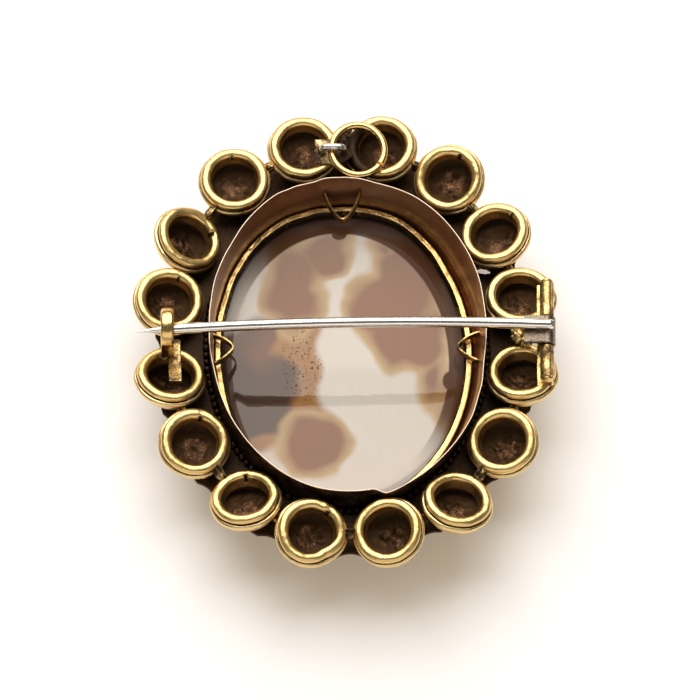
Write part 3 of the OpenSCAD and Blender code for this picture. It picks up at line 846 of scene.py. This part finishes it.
class BROOCH_OT_stage(bpy.types.Operator):
    """Pale floor, soft light from above and behind, and the camera"""

    bl_idname = "brooch.stage"
    bl_label = "Stage"

    def execute(self, context):
        scene = context.scene
        mesh = bpy.data.meshes.new("floor")
        corners = [(-2.5, -2.5, 0), (2.5, -2.5, 0), (2.5, 2.5, 0), (-2.5, 2.5, 0)]
        mesh.from_pydata(corners, [], [(0, 1, 2, 3)])
        mesh.materials.append(floor_material())
        floor = show("floor", mesh)

        soft_light("rear softbox", (-0.06, 0.38, 0.54), (0, 0, 0), 0.78, 0.78, 3.5)
        soft_light("front card", (0.0, -0.52, 0.3), (0, 0, 0.01), 1.0, 0.36, 0.95)
        world = bpy.data.worlds.new("studio")
        world.use_nodes = True
        back = world.node_tree.nodes["Background"]
        plug(world.node_tree, back, {"Color": (*WHITE_LIGHT, 1), "Strength": 0.16})
        scene.world = world
        scene.view_settings.view_transform = "Standard"

        data = bpy.data.cameras.new("camera")
        data.sensor_width = 36
        data.lens = data.sensor_width * CAMERA_AWAY / FRAME_WIDTH
        data.clip_start, data.clip_end = 0.1, 20
        camera = show("camera", data)
        aside = Vector((0, -sin(CAMERA_TILT), cos(CAMERA_TILT)))
        camera.location = Vector((0.0002, 0.00018, 0.006)) + aside * CAMERA_AWAY
        camera.rotation_euler = (CAMERA_TILT, 0, 0)
        scene.camera = camera
        return {"FINISHED"}


class BROOCH_OT_bezel(bpy.types.Operator):
    """Bezel with its flared wall, thin rim and front seat"""

    bl_idname = "brooch.bezel"
    bl_label = "Bezel"

    def execute(self, context):
        s = sizes()
        top, back, wall = rim_z(s), s.stone_back, s.wall
        start, ledge, seat, thin, count = back + 0.4, wall + 0.9, 1.3, 0.09, 288
        rows = [(ledge, 0, 0.4), (0.06, 0, 0.5), (0, 0.06, 0.5)]
        # Outer face of the wall: a heavy film, oxide and painted shade in the gap between the rim and the
        # bosses
        rows += [(0, z, 0.55) for z in steps(0.06, start, 6)[1:] + steps(start, top - 0.16, 30)[1:]]
        rows += [(0, top - 0.06, 0), (0.03, top, 0), (thin, top, 0), (thin + 0.02, top - 0.04, 0)]
        for k in range(31):
            inset = mix(thin + 0.03, wall, smooth(0, 0.6, k / 30))
            rows.append((inset, mix(top - 0.09, start, k / 30), 0.12 + 0.03 * k / 30))
        rows += [(wall, back, 0.4), (wall, seat, 0.4), (ledge, seat, 0.4)]

        def point(inset, z, _, angle):
            x, y = wall_oval(s, z, inset, angle)
            lift = smooth(back + 1, top, z)
            push = 0.05 * wobble(x * 0.22, y * 0.22, z * 0.3, 1) * smooth(back, top, z)
            push += bend_at(RIM_BENDS, angle) * lift
            return *pushed(x, y, push), z + 0.05 * wobble(x * 0.3, y * 0.3, 0, 2) * lift

        # The rim's top rows take the pale rim colour: wear, and a painted highlight along the edge
        films = [film for _, _, film in rows for _ in range(count)]
        marks = {"hollow": films, "lip": [1.0 if film == 0 else 0.0 for film in films]}
        mesh = mesh_from("bezel", loft(ring_rows(rows, count, point), along=True), marks)
        finish = metal("bezel gold", "bezel_gold", 0.3, (0.32, 0.45), 0.3, 0.1, 0.1, second="rim_gold")
        finish_piece("bezel", mesh, finish, sharp=50)
        return {"FINISHED"}


def cup_rows(s):
    """Rows of a boss from its bottom over the lip inwards: radius, height, inside, mark, hollow."""
    radius, lip, wide, high = s.boss_radius, s.lip_radius, 0.51, 0.42
    bend = (radius**2 + s.dish_depth**2) / (2 * s.dish_depth)
    rise = bend - s.boss_depth
    rows = [(r, rise - sqrt(bend**2 - r * r), 0, 0, 0) for r in steps(0, radius, 8)[1:]]
    side = ((0.08, -1.25), (0.1, -1.05), (0.06, -0.9), (-0.04, -0.82), (-0.17, -0.78), (-0.26, -0.74))
    rows += [(radius + out, z, 0, 0, 0 if out > -0.08 else 0.7) for out, z in side]
    for turn in steps(-40, 180, 16):
        a, film = radians(turn), 0.5 * smooth(-20, -40, turn)
        rows.append((lip + wide * cos(a), -high + high * sin(a), 0, 1, film))
    rows += [
        (2.35, -0.6, 0, 0.8, 0.45), (2.33, -0.7, 0, 0.9, 0.1), (2.28, -1.0, 0, 0.9, 0),
        (2.22, -1.25, 0, 0.7, 0.1), (2.2, -1.4, 0.6, 0.2, 0.3), (2.4, -1.55, 0.9, 0, 0.3),
        (2.95, -1.95, 1, 0, 0.3),
    ]
    for k in range(1, 19):
        share = 1 - k / 19
        rows.append((2.98 * share, CUP_FLOOR + 0.8 * share**2.4, 1, 1 - smooth(0.25, 0.75, share), 0.2))
    return rows


def mark_lips(mesh, places):
    """Dark nicks in single lips, the dented boss and the crumpled floors."""
    turned = [boss_turned(i) for i in BOSSES]
    floor, hollow = (mesh.attributes[name].data for name in ("floor", "hollow"))
    for n, vertex in enumerate(mesh.vertices):
        p = vertex.co / MM
        i = min(BOSSES, key=lambda k: (p - places[k]).length_squared)
        local = turned[i].transposed() @ (p - places[i])
        angle = degrees(atan2(local.y, local.x)) % 360
        for boss, middle, width, depth in LIP_MARKS:
            if boss == i and local.z > -1.2:
                cut = max(0.0, 1 - apart(angle, middle) / width) * smooth(-1.2, -0.3, local.z)
                if width > WIDE_DENT:
                    cut = smooth(0, 0.4, cut)
                if width < NARROW_NICK:
                    cut *= 1 - 0.8 * smooth(2.5, 2.85, hypot(local.x, local.y))
                p.z -= depth * cut
                hollow[n].value += 1.2 * cut * min(1.0, depth * 4)
        if i == CRUSHED_BOSS:
            near = max(0.0, 1 - apart(angle, CRUSHED_ANGLE) / 50)
            p += turned[i] @ Vector((-0.25, 0.35, -0.25)) * near * smooth(-2, -0.3, local.z)
        crumple = floor[n].value
        if crumple > 0.02:
            rise = 0.35 * abs(wobble(p.x * 1.3, p.y * 1.3, 0, i + 3))
            p += turned[i] @ Vector((0, 0, 1)) * crumple * rise
        vertex.co = p * MM


class BROOCH_OT_bosses(bpy.types.Operator):
    """Sixteen hollow bosses with rolled lips and crumpled foil inside"""

    bl_idname = "brooch.bosses"
    bl_label = "Bosses"

    def execute(self, context):
        s = sizes()
        rows, count = cup_rows(s), 104
        poles = [(0, -s.boss_depth, 0, 0, 0), (0, CUP_FLOOR, 1, 1, 0.3)]
        rings = [level_ring(r, r, z, count) for r, z, *_ in rows]
        shape = poled(rings, (0, 0, poles[0][1]), (0, 0, poles[1][1]))
        marks = {"inside": [], "lip": [], "floor": [], "hollow": []}
        for row, times in [(row, count) for row in rows] + [(row, 1) for row in poles]:
            inside, mark, hollow = row[2:]
            for name, value in zip(marks, (inside, 0 if inside else mark, mark if inside else 0, hollow)):
                marks[name] += [value] * times
        pattern = show("boss pattern", mesh_from("boss", shape, marks))
        places = [boss_place(s, i) for i in BOSSES]
        spots = bpy.data.meshes.new("boss places")
        spots.from_pydata([tuple(p * MM) for p in places], [], [])
        lean = spots.attributes.new("lean", "FLOAT_VECTOR", "POINT")
        for i in BOSSES:
            lean.data[i].vector = boss_turned(i).to_euler()
        tree, keys = boss_tree()
        finish = boss_metal()
        values = {keys["Boss"]: pattern, keys["Unevenness"]: 0.00022, keys["Material"]: finish}
        mesh = grown("bosses", spots, "NODES", {"node_group": tree}, values)
        bpy.data.objects.remove(pattern)
        mark_lips(mesh, places)
        finish_piece("bosses", mesh, finish, sharp=60)
        return {"FINISHED"}


def plate_mesh(s, low, top):
    """Plate whose edge is hollowed between the bosses."""
    turns = [boss_turn(i) for i in BOSSES] + [360 + boss_turn(0)]
    hollows = [boss_oval(s, (a + b) / 2, 3.0) for a, b in zip(turns, turns[1:])]
    around, across, half, reach = 768, 14, base_half(s), 2.4
    edge = []
    for i in range(around):
        turn, out = 360 * i / around, 1.15
        for middle in hollows:
            for _ in range(3):
                gap = (boss_oval(s, turn, out) - middle).length
                if gap < reach:
                    out -= (reach - gap) * 0.9
        outer = boss_oval(s, turn, out)
        angle = atan2(outer.y / half[1], outer.x / half[0])
        edge.append((outer, Vector(wall_oval(s, top, 0.2, angle))))
    above, below = [], []
    for k in range(across + 1):
        share = k / across
        bend = 0.06 * smooth(0.9, 1, share)
        spots = [inner.lerp(outer, share) for outer, inner in edge]
        rough = [0.05 * wobble(p.x * 0.9, p.y * 0.9, 0, 8) for p in spots]
        above.append([(p.x, p.y, top + r - bend) for p, r in zip(spots, rough)])
        below.append([(p.x, p.y, low + r * 0.5 + bend) for p, r in zip(spots, rough)])
    shape = loft(above + below[::-1], along=True)
    return mesh_from("gallery_plate", shape, {"hollow": [0.8] * len(shape[0])})


def with_slot(mesh, s, height):
    """The plate with its open slot, cut by a ragged bar."""
    at = boss_oval(s, SLOT_ANGLE, -2.5)
    turn = radians(SLOT_LEAN)
    along = Vector((cos(turn), sin(turn), 0))
    ends = [Vector((at.x, at.y, height)) + along * far for far in steps(-0.9, 0.85, 12)]

    def ragged(share):
        wide = mix(0.18, 0.75, smooth(0, 0.55, share)) - 0.3 * smooth(0.6, 1, share)
        return strip_section(wide + 0.06 * sin(19 * share), 2.0, 24, 0.4)

    bar = mesh_from("slot", sweep(ends, ragged))
    face_outwards(bar)
    face_outwards(mesh)
    cutter = show("slot cutter", bar)
    done = grown("gallery_plate", mesh, "BOOLEAN", {"operation": "DIFFERENCE", "object": cutter})
    bpy.data.objects.remove(cutter)
    return done


class BROOCH_OT_gallery(bpy.types.Operator):
    """Plate between the bezel and the bosses, near-black with tarnish and painted shade, and the solder on
    it
    """

    bl_idname = "brooch.gallery"
    bl_label = "Gallery plate and solder"

    def execute(self, context):
        s = sizes()
        low = s.stone_back + s.plate
        top = low + PLATE_THICK
        # Near-black plate: tarnish and painted shade of the deep gap between bezel and bosses
        finish = metal("plate gold", "dull_gold", 0.62, (0.3, 0.5), 0.8, 0.6, 0.4)
        finish_piece("gallery_plate", with_slot(plate_mesh(s, low, top), s, (low + top) / 2), finish)

        parts = []
        for i in BOSSES:
            a, b = side_middle(s, i), side_middle(s, (i + 1) % len(BOSSES))
            middle = (a + b) / 2 - Vector((0, 0, 0.25))
            lift = middle + Vector((0, 0, 0.5)) - Vector((middle.x, middle.y, 0)).normalized() * 0.2
            half = ((b - a).length - 2 * s.boss_radius) / 2 + 0.5
            turn = (b - a).normalized().to_track_quat("X", "Z").to_matrix()
            lumps = ((half, 0.5, 0.5), i + 0.5, 0.3, middle), ((half * 0.7, 0.2, 0.3), i + 3.5, 0.4, lift)
            for radii, seed, rough, at in lumps:
                points, faces = blob((0, 0, 0), radii, seed, rough)
                parts.append(([tuple(turn @ Vector(p) + at) for p in points], faces))
        plain = sum(len(part[0]) for part in parts)
        # Three lumps close the see-through gap under the bail; their heavy film paints the shade there
        for y, size, seed in ((22.1, 1.0, 2.0), (22.9, 0.75, 5.0), (23.6, 0.6, 3.0)):
            parts.append(blob((-0.15, y, lip_z(s) - 1.45), (size, size, 0.55), seed, 0.3))
        shape = joined(parts)
        film = [0.05] * plain + [0.8] * (len(shape[0]) - plain)
        finish = metal("solder", "yellow_gold", 0.82, (0.24, 0.45), 1.2, 0.5, 0.4)
        shape_piece("boss_solder", shape, film, finish)
        return {"FINISHED"}


class BROOCH_OT_beads(bpy.types.Operator):
    """Beaded wire round the foot of the bezel"""

    bl_idname = "brooch.beads"
    bl_label = "Beaded wire"

    def execute(self, context):
        s = sizes()
        z = s.stone_back + s.plate + 0.4 + s.bead / 2
        ring = [wall_oval(s, z, -s.bead * 0.45, a) for a in turns_of(400)]
        path = bpy.data.meshes.new("bead path")
        edges = [(i, (i + 1) % len(ring)) for i in range(len(ring))]
        path.from_pydata([(x * MM, y * MM, z * MM) for x, y in ring], edges, [])
        tree, keys = bead_tree()
        # Heavy film leaves the beads nearly black: painted shade of the deep gap, with a little tarnish
        finish = metal("bead gold", "dull_gold", 0.95, (0.2, 0.4), 0.4, 0.3, 0.2)
        values = {keys["Pitch"]: 0.0008, keys["Bead Radius"]: s.bead / 2 * MM, keys["Material"]: finish}
        mesh = grown("beaded_wire", path, "NODES", {"node_group": tree}, values)
        finish_piece("beaded_wire", mesh, finish)
        return {"FINISHED"}


class BROOCH_OT_clips(bpy.types.Operator):
    """Four thin V-shaped spring clips over the stone"""

    bl_idname = "brooch.clips"
    bl_label = "Spring clips"

    def execute(self, context):
        s = sizes()
        height = s.stone_back + 1.52
        half_x, half_y = base_half(s)
        share = flare_at(s, height)
        shift = -s.stone_shift * (1 - share)
        in_x, in_y = half_x + s.side_flare * share - s.wall, half_y - s.wall
        # Foot at the wall, turn, height, half width, climb of the arms, sideways bend of the tip, reach
        rows = [
            (shift - 0.45, in_y, 0, height, 1.85, 2.4, 0.06, 2.85),
            (shift - 0.2, -in_y, 180, height, 1.6, 0, 0, 2.1),
            (shift - in_x, 0.3, 90, height + 0.35, 1.6, 0, 0.2, 2.8),
            (shift + in_x, 0.75, -90, height, 1.6, 0, -0.05, 3.1),
        ]
        parts = []
        for k, (x, y, turn, z, wide, climb, aside, reach) in enumerate(rows):
            spin = Matrix.Rotation(radians(turn), 3, "Z")
            path = []
            for t in steps(-1, 1, 40):
                tip = 1.03 - sqrt(t * t + 0.12) + 0.02
                side = t * (wide + 0.22 * sin(pi * min(1, abs(t)))) + aside * (1 - t * t)
                rise = 0.1 * wobble(t * 2, k, 0, 5) + climb * t * t
                path.append(Vector((x, y, z)) + spin @ Vector((side, 0.12 - reach * tip, rise)))
            parts.append(sweep(path, lambda share: strip_section(0.2, 0.95, 20)))
        finish = metal("clip gold", "yellow_gold", 0.64, (0.22, 0.45), 0.6, 0.6, 0.3)
        shape_piece("spring_clips", joined(parts), 0.1, finish)
        return {"FINISHED"}


class BROOCH_OT_ring(bpy.types.Operator):
    """Hammered ring that holds the stone"""

    bl_idname = "brooch.ring"
    bl_label = "Retaining ring"

    def execute(self, context):
        s = sizes()
        outer_x, outer_y = s.stone_width / 2 - 0.1, s.stone_length / 2 - 0.1
        low, top, count = s.stone_back + 0.09, s.stone_back + 0.9, 480
        rows = [(0.8, low), (0, low), (0, mix(low, top, 0.5)), (0, top - 0.1), (0.04, top - 0.02)]
        rows += [(inset, top) for inset in steps(0.08, 0.5, 6)]
        rows += [(0.56, top - 0.04), (0.64, top - 0.2), (0.74, top - 0.42), (0.8, top - 0.6)]

        def point(inset, z, angle):
            x, y = (outer_x - inset) * cos(angle), (outer_y - inset) * sin(angle)
            x, y = pushed(x, y, bend_at(FOOT_BENDS, angle))
            dent = 0.035 * wobble(x * 1.6, y * 1.6, 0, 9) + 0.02 * wobble(x * 4, y * 4, 0, 3)
            return x - s.stone_shift, y, z + min(0.03, dent) * smooth(low + 0.3, top, z)

        # The film grows towards the +Y side, so the ring is darker along its top
        darker_on_top = [0.1 * max(0.0, sin(a)) ** 2 for a in turns_of(count)]
        film = [(0.4 if inset > 0.55 else 0.02) + more for inset, _ in rows for more in darker_on_top]
        shape = loft(ring_rows(rows, count, point), along=True)
        finish = metal("ring gold", "yellow_gold", 0.5, (0.26, 0.5), 2.0, 0.8, 0.35)
        shape_piece("hammered_ring", shape, film, finish, nodes=["retaining_ring"])
        return {"FINISHED"}


def front_point(x, y, front):
    """Point of the carved front: a round flower with pointed leaves above and below."""
    far, turn = hypot(x, y), atan2(y, x)
    wave = abs(cos(4 * turn))
    rise = 0.72 * smooth(6.1 * (0.86 + 0.14 * wave), 5.2, far) * (0.55 + 0.45 * wave)
    if far < 3.2:
        wave = abs(cos(2.5 * turn + 0.7))
        rise = max(rise, 0.86 * smooth(3.2, 2.5, far) * (0.7 + 0.3 * wave))
    rise = max(rise, 0.95 * smooth(1.3, 0.7, far))
    for lean, reach in LEAVES:
        a = radians(lean)
        u = (x * cos(a) + y * sin(a) - reach) / 3.2
        v = (-x * sin(a) + y * cos(a)) / 1.3
        inside = 1 - u * u - abs(v)
        if inside > 0:
            rise = max(rise, 0.47 * smooth(0, 0.35, inside) * (1 - 0.4 * exp(-((v / 0.12) ** 2))))
    return x, y, front - rise


class BROOCH_OT_stone(bpy.types.Operator):
    """Cameo stone with its polished back and a carved flower on its front"""

    bl_idname = "brooch.stone"
    bl_label = "Cameo stone"

    def execute(self, context):
        s = sizes()
        half_x, half_y, edge = s.stone_width / 2, s.stone_length / 2, s.stone_edge
        back, front, fall, count, centre = s.stone_back, s.stone_front, 0.7, 288, 0.002
        rings = []
        for share in [centre] + steps(0, 1, 40)[1:]:
            flat = level_ring(half_x * share, half_y * share, front, count)
            rings.append([front_point(*p) for p in flat])
        rings += [level_ring(half_x, half_y, z, count) for z in steps(front, back - fall, 4)[1:-1]]
        for t in steps(0, 1, 24):
            z = back - fall * (1 - t) ** 2.2
            rings.append(level_ring(half_x - edge * t, half_y - edge * t, z, count))
        for share in (0.9, 0.75, 0.5, 0.25, centre):
            rings.append(level_ring((half_x - edge) * share, (half_y - edge) * share, back, count))
        points, faces = capped(rings)
        bent = []
        for x, y, z in points:
            share = hypot(x / half_x, y / half_y)
            push = bend_at(FOOT_BENDS, atan2(y / half_y, x / half_x)) * share**3
            reach = 1 + push / max(1.0, hypot(x, y))
            bent.append((x * reach - s.stone_shift, y * reach, z))
        mesh = mesh_from("stone", (bent, faces))
        finish_piece("stone", mesh, stone_material(), ["cameo_stone"], "stone", sharp=60)
        return {"FINISHED"}


class BROOCH_OT_hinge(bpy.types.Operator):
    """Outer knuckles on their strip, and the rivet"""

    bl_idname = "brooch.hinge"
    bl_label = "Hinge seat and rivet"

    def execute(self, context):
        s = sizes()
        x, z, r, bore = s.hinge_x, hinge_z(s), s.knuckle_radius - 0.15, 0.42
        parts = []
        for start, end, seed in ((-5.05, -1.55, 1), (1.65, 5.45, 2)):

            def point(radius, y, angle):
                c, d = cos(angle), sin(angle)
                if radius > bore:
                    radius -= 0.07 * exp(-(((degrees(angle) - 40) / 7) ** 2))
                    radius += 0.02 * wobble(c, y * 0.8, d, seed)
                return x + radius * c, y, z + radius * d

            rows = knuckle_rows(bore, r, start, end, 20)
            parts.append(loft(ring_rows(rows, 48, point), along=True))
            low, high = z - r - 0.27, z - 0.3
            web = [(x, y, mix(low, high, 0.5)) for y in (start + 0.02, (start + end) / 2, end - 0.02)]
            parts.append(sweep(web, lambda share: strip_section(1.05, high - low, 24, 0.25)))
        strip = z - s.knuckle_radius - 0.1 - 0.275
        path = []
        for k, y in enumerate(steps(-5.35, 5.65, 30)):
            path.append((x - 0.15 + 0.03 * wobble(0, k * 0.2, 0, 3), y, strip))

        def strip_at(share):
            return strip_section(1.7 + 0.06 * sin(9 * share), 0.5, 32, 0.25)

        parts.append(sweep(path, strip_at))
        for i in (BOSSES[0], BOSSES[-1]):
            at = (x + 0.25, boss_place(s, i).y, strip - 0.35)
            parts.append(blob(at, (0.6, 0.8, 0.55), i + 0.2, 0.3))
        parts.append(blob((x - 2.9, 0.5, strip - 0.45), (0.75, 0.8, 0.5), 6.2, 0.5))
        parts.append(blob((x - 2.2, -0.2, strip - 0.5), (0.55, 0.6, 0.4), 8.2, 0.5))
        finish = metal("hinge gold", "yellow_gold", 0.58, (0.2, 0.45), 1.0, 0.8, 0.4)
        shape_piece("hinge_seat", joined(parts), 0.12, finish)

        rows = (
            (0.05, -5.4), (0.4, -5.38), (0.56, -5.28), (0.6, -5.14), (0.6, -5.09), (0.4, -5.08),
            (0.4, 5.48), (0.6, 5.49), (0.6, 5.54), (0.56, 5.68), (0.4, 5.78), (0.05, 5.8),
        )
        shape = capped([upright_ring(x, y, z, radius, 40) for radius, y in rows])
        shape_piece("rivet", shape, 0.1, finish, nodes=["hinge_rivet"])
        return {"FINISHED"}


class BROOCH_OT_pin(bpy.types.Operator):
    """Bowed pin stem on its tongue, with the knuckle that turns"""

    bl_idname = "brooch.pin"
    bl_label = "Pin"

    def execute(self, context):
        s = sizes()
        x, z, r, stem, reach = s.hinge_x, hinge_z(s), s.knuckle_radius, s.stem_radius, s.stem_reach
        tail, bow, skew, point = x + 0.6, 1.3, radians(1.1), 4.1 - reach
        top = z + r - 0.05
        chord, middle = (tail + reach) / 2, (tail - reach) / 2
        radius = (chord * chord + bow * bow) / (2 * bow)
        base = top + stem - 0.1 + bow - radius
        path = []
        for px in steps(tail, -reach, 160):
            along = px - x
            y = 0.3 + sin(skew) * along + 0.015 * wobble(px * 0.25, 0, 0, 4)
            path.append((x + cos(skew) * along, y, base + sqrt(radius**2 - (px - middle) ** 2)))

        def stem_section(share):
            sharp = smooth(point, -reach, mix(tail, -reach, share))
            return round_section(mix(stem + 0.04, 0.09, sharp**0.9) * (0.82 if share < 0.004 else 1), 32)

        silver = metal("pin silver", "silver", 0.12, (0.09, 0.3), 0.25, 0.5, 0.12)
        rides = {"nodes": ["pin"], "slot": "pin_metal", "body": "pin_stem"}
        shape_piece("pin_stem", sweep(path, stem_section), 0.0, silver, sharp=60, **rides)

        knuckle = [upright_ring(x, y, z, out, 48) for out, y in knuckle_rows(0.46, r, -1.45, 1.55, 16)]
        tongue = [(x + out, 0.05, top - 0.2) for out in (-2.3, -2.26, -1.5, -0.7, 0.1)]
        parts = [loft(knuckle, along=True), sweep(tongue, lambda share: strip_section(3.0, 0.4, 40, 0.22))]
        # Dark tongue: worn metal and painted shade under the stem
        worn = metal("tongue silver", "worn_and_shaded_silver", 0.5, (0.24, 0.4), 1.5, 1.2, 0.4)
        shape_piece("pin_tongue", joined(parts), 0.05, worn, **rides)
        return {"FINISHED"}


class BROOCH_OT_catch(bpy.types.Operator):
    """Hook over the stem, on its foot"""

    bl_idname = "brooch.catch"
    bl_label = "Catch"

    def execute(self, context):
        s = sizes()
        x, y, z, wide, thick = -18.0, 0.08, 11.23, 1.3, 0.5
        radius = s.hook_radius + thick / 2
        spot, turn = boss_place(s, CATCH_BOSS), boss_turned(CATCH_BOSS)
        leg_y = y - radius
        low = spot.z - (leg_y - spot.y) * tan(radians(15)) + 0.1
        path = [(x, leg_y, height) for height in steps(low, z, 12)[:-1]]
        path += arc((x, y, z), radius, 180, 0, 31)
        path += [(x, y + radius, z - 0.15), (x, y + radius, z - 0.32)]
        foot = []
        for k in range(17):
            rise = 0.15 + 0.05 * wobble(0, k * 0.3, 0, 6)
            foot.append(spot + turn @ Vector((x + 0.75 - spot.x, mix(3.9, -1.4, k / 16), rise)))

        def strip(share):
            return strip_section(thick, wide * mix(1, 0.55, smooth(0.93, 1, share)), 32, 0.8)

        parts = [sweep(path, strip, up=(1, 0, 0))]
        parts.append(sweep(foot, lambda share: strip_section(1.3, mix(0.5, 0.42, share), 32, 0.3)))
        parts.append(blob((-18.1, -1.7, low + 0.1), (0.75, 0.5, 0.4), 2.2, 0.4))
        # The foot and its lump take a heavy film: tarnish, and painted shade under the hook
        hook, rest = len(parts[0][0]), len(parts[1][0]) + len(parts[2][0])
        finish = metal("catch gold", "yellow_gold", 0.3, (0.12, 0.4), 0.7, 0.6, 0.35)
        shape_piece("catch", joined(parts), [0.02] * hook + [0.5] * rest, finish)
        return {"FINISHED"}


class BROOCH_OT_bail(bpy.types.Operator):
    """Tab, staple and the small cut ring"""

    bl_idname = "brooch.bail"
    bl_label = "Bail"

    def execute(self, context):
        s = sizes()
        x, y, tab_z, wire, half, bend = -1.53, 20.54, lip_z(s) - 0.12, 0.35, 1.15, 0.6
        ring_wire, tab, play = s.bail_wire / 2, 0.35, 0.14
        bail_z = tab_z + tab + play + ring_wire
        top = bail_z + ring_wire + play + wire
        leg = steps(tab_z + 0.1, top - bend, 5)[:-1]
        path = [(x - half, y, z) for z in leg]
        path += arc((x - half + bend, y, top - bend), bend, 180, 90, 9, "xz")
        path += arc((x + half - bend, y, top - bend), bend, 90, 0, 9, "xz")
        path += [(x + half, y, z) for z in leg[::-1]]
        staple = sweep(path, lambda share: round_section(wire, 24), up=(0, 1, 0))
        finish = metal("staple metal", "silver", 0.6, (0.15, 0.4), 0.5, 0.5, 0.25)
        shape_piece("bail_staple", staple, 0.05, finish)

        left, right, wide, slant, centre = -3.35, 0.55, 1.36, 1.25, -1.6
        slope = right - slant
        outline = [(left, -wide), (slope, -wide), (right, -wide / 3), (slope, wide), (left, wide)]
        dense = []
        for (ax, ay), (bx, by) in zip(outline, outline[1:] + outline[:1]):
            dense += list(zip(steps(ax, bx, 10), steps(ay, by, 10)))[:-1]
        rows = ((0.02, 0), (0.94, 0), (1, 0.06), (1, tab - 0.06), (0.94, tab), (0.02, tab))
        rings = [[(mix(centre, px, k), y + 0.1 + py * k, tab_z + z) for px, py in dense] for k, z in rows]
        shape = capped(rings)
        # Film grows towards +X, where the tab lies under the ring: painted shade of the ring, over tarnish
        film = [0.25 + 0.75 * smooth(-1.4, -0.8, px) for px, _, _ in shape[0]]
        finish = metal("tab gold", "rose_gold", 0.58, (0.25, 0.5), 0.8, 0.8, 0.35)
        shape_piece("bail_tab", shape, film, finish)

        radius, tilt = s.bail_radius * 1.015, radians(3)
        path = []
        for a in map(radians, steps(-31, 322, 96)):
            out = radius + radius * cos(a)
            side = y + 0.08 + radius * 1.05 * sin(a)
            path.append((x - 0.1 + out * cos(tilt), side, bail_z - out * sin(tilt)))
        ring = sweep(path, lambda share: round_section(ring_wire + 0.07, 24))
        finish = metal("bail gold", "yellow_gold", 0.18, (0.09, 0.3), 0.4, 0.4, 0.2)
        shape_piece("bail_ring_wire", ring, 0.0, finish, nodes=["bail_ring"], body="bail", sharp=60)
        return {"FINISHED"}


STEPS = (
    BROOCH_OT_stage, BROOCH_OT_bezel, BROOCH_OT_bosses, BROOCH_OT_gallery, BROOCH_OT_beads,
    BROOCH_OT_clips, BROOCH_OT_ring, BROOCH_OT_stone, BROOCH_OT_hinge, BROOCH_OT_pin,
    BROOCH_OT_catch, BROOCH_OT_bail,
)


class BROOCH_PT_panel(bpy.types.Panel):
    """Sidebar panel with the sizes, the colours and one button for each piece"""

    bl_label = "Cameo brooch"
    bl_idname = "BROOCH_PT_panel"
    bl_space_type = "VIEW_3D"
    bl_region_type = "UI"
    bl_category = "Brooch"

    def draw(self, context):
        column = self.layout.column()
        for holder, kind in (
            (context.scene.brooch_sizes, BroochSizes),
            (context.scene.brooch_colours, BroochColours),
        ):
            for name in kind.__annotations__:
                column.prop(holder, name)
        for step in STEPS:
            column.operator(step.bl_idname)


CLASSES = (BroochSizes, BroochColours, *STEPS, BROOCH_PT_panel)


def register():
    for kind in CLASSES:
        bpy.utils.register_class(kind)
    bpy.types.Scene.brooch_sizes = bpy.props.PointerProperty(type=BroochSizes)
    bpy.types.Scene.brooch_colours = bpy.props.PointerProperty(type=BroochColours)


def unregister():
    del bpy.types.Scene.brooch_sizes
    del bpy.types.Scene.brooch_colours
    for kind in reversed(CLASSES):
        bpy.utils.unregister_class(kind)


def main():
    register()
    make_groups()
    for step in STEPS:
        family, name = step.bl_idname.split(".")
        getattr(getattr(bpy.ops, family), name)()


if __name__ == "__main__":
    main()
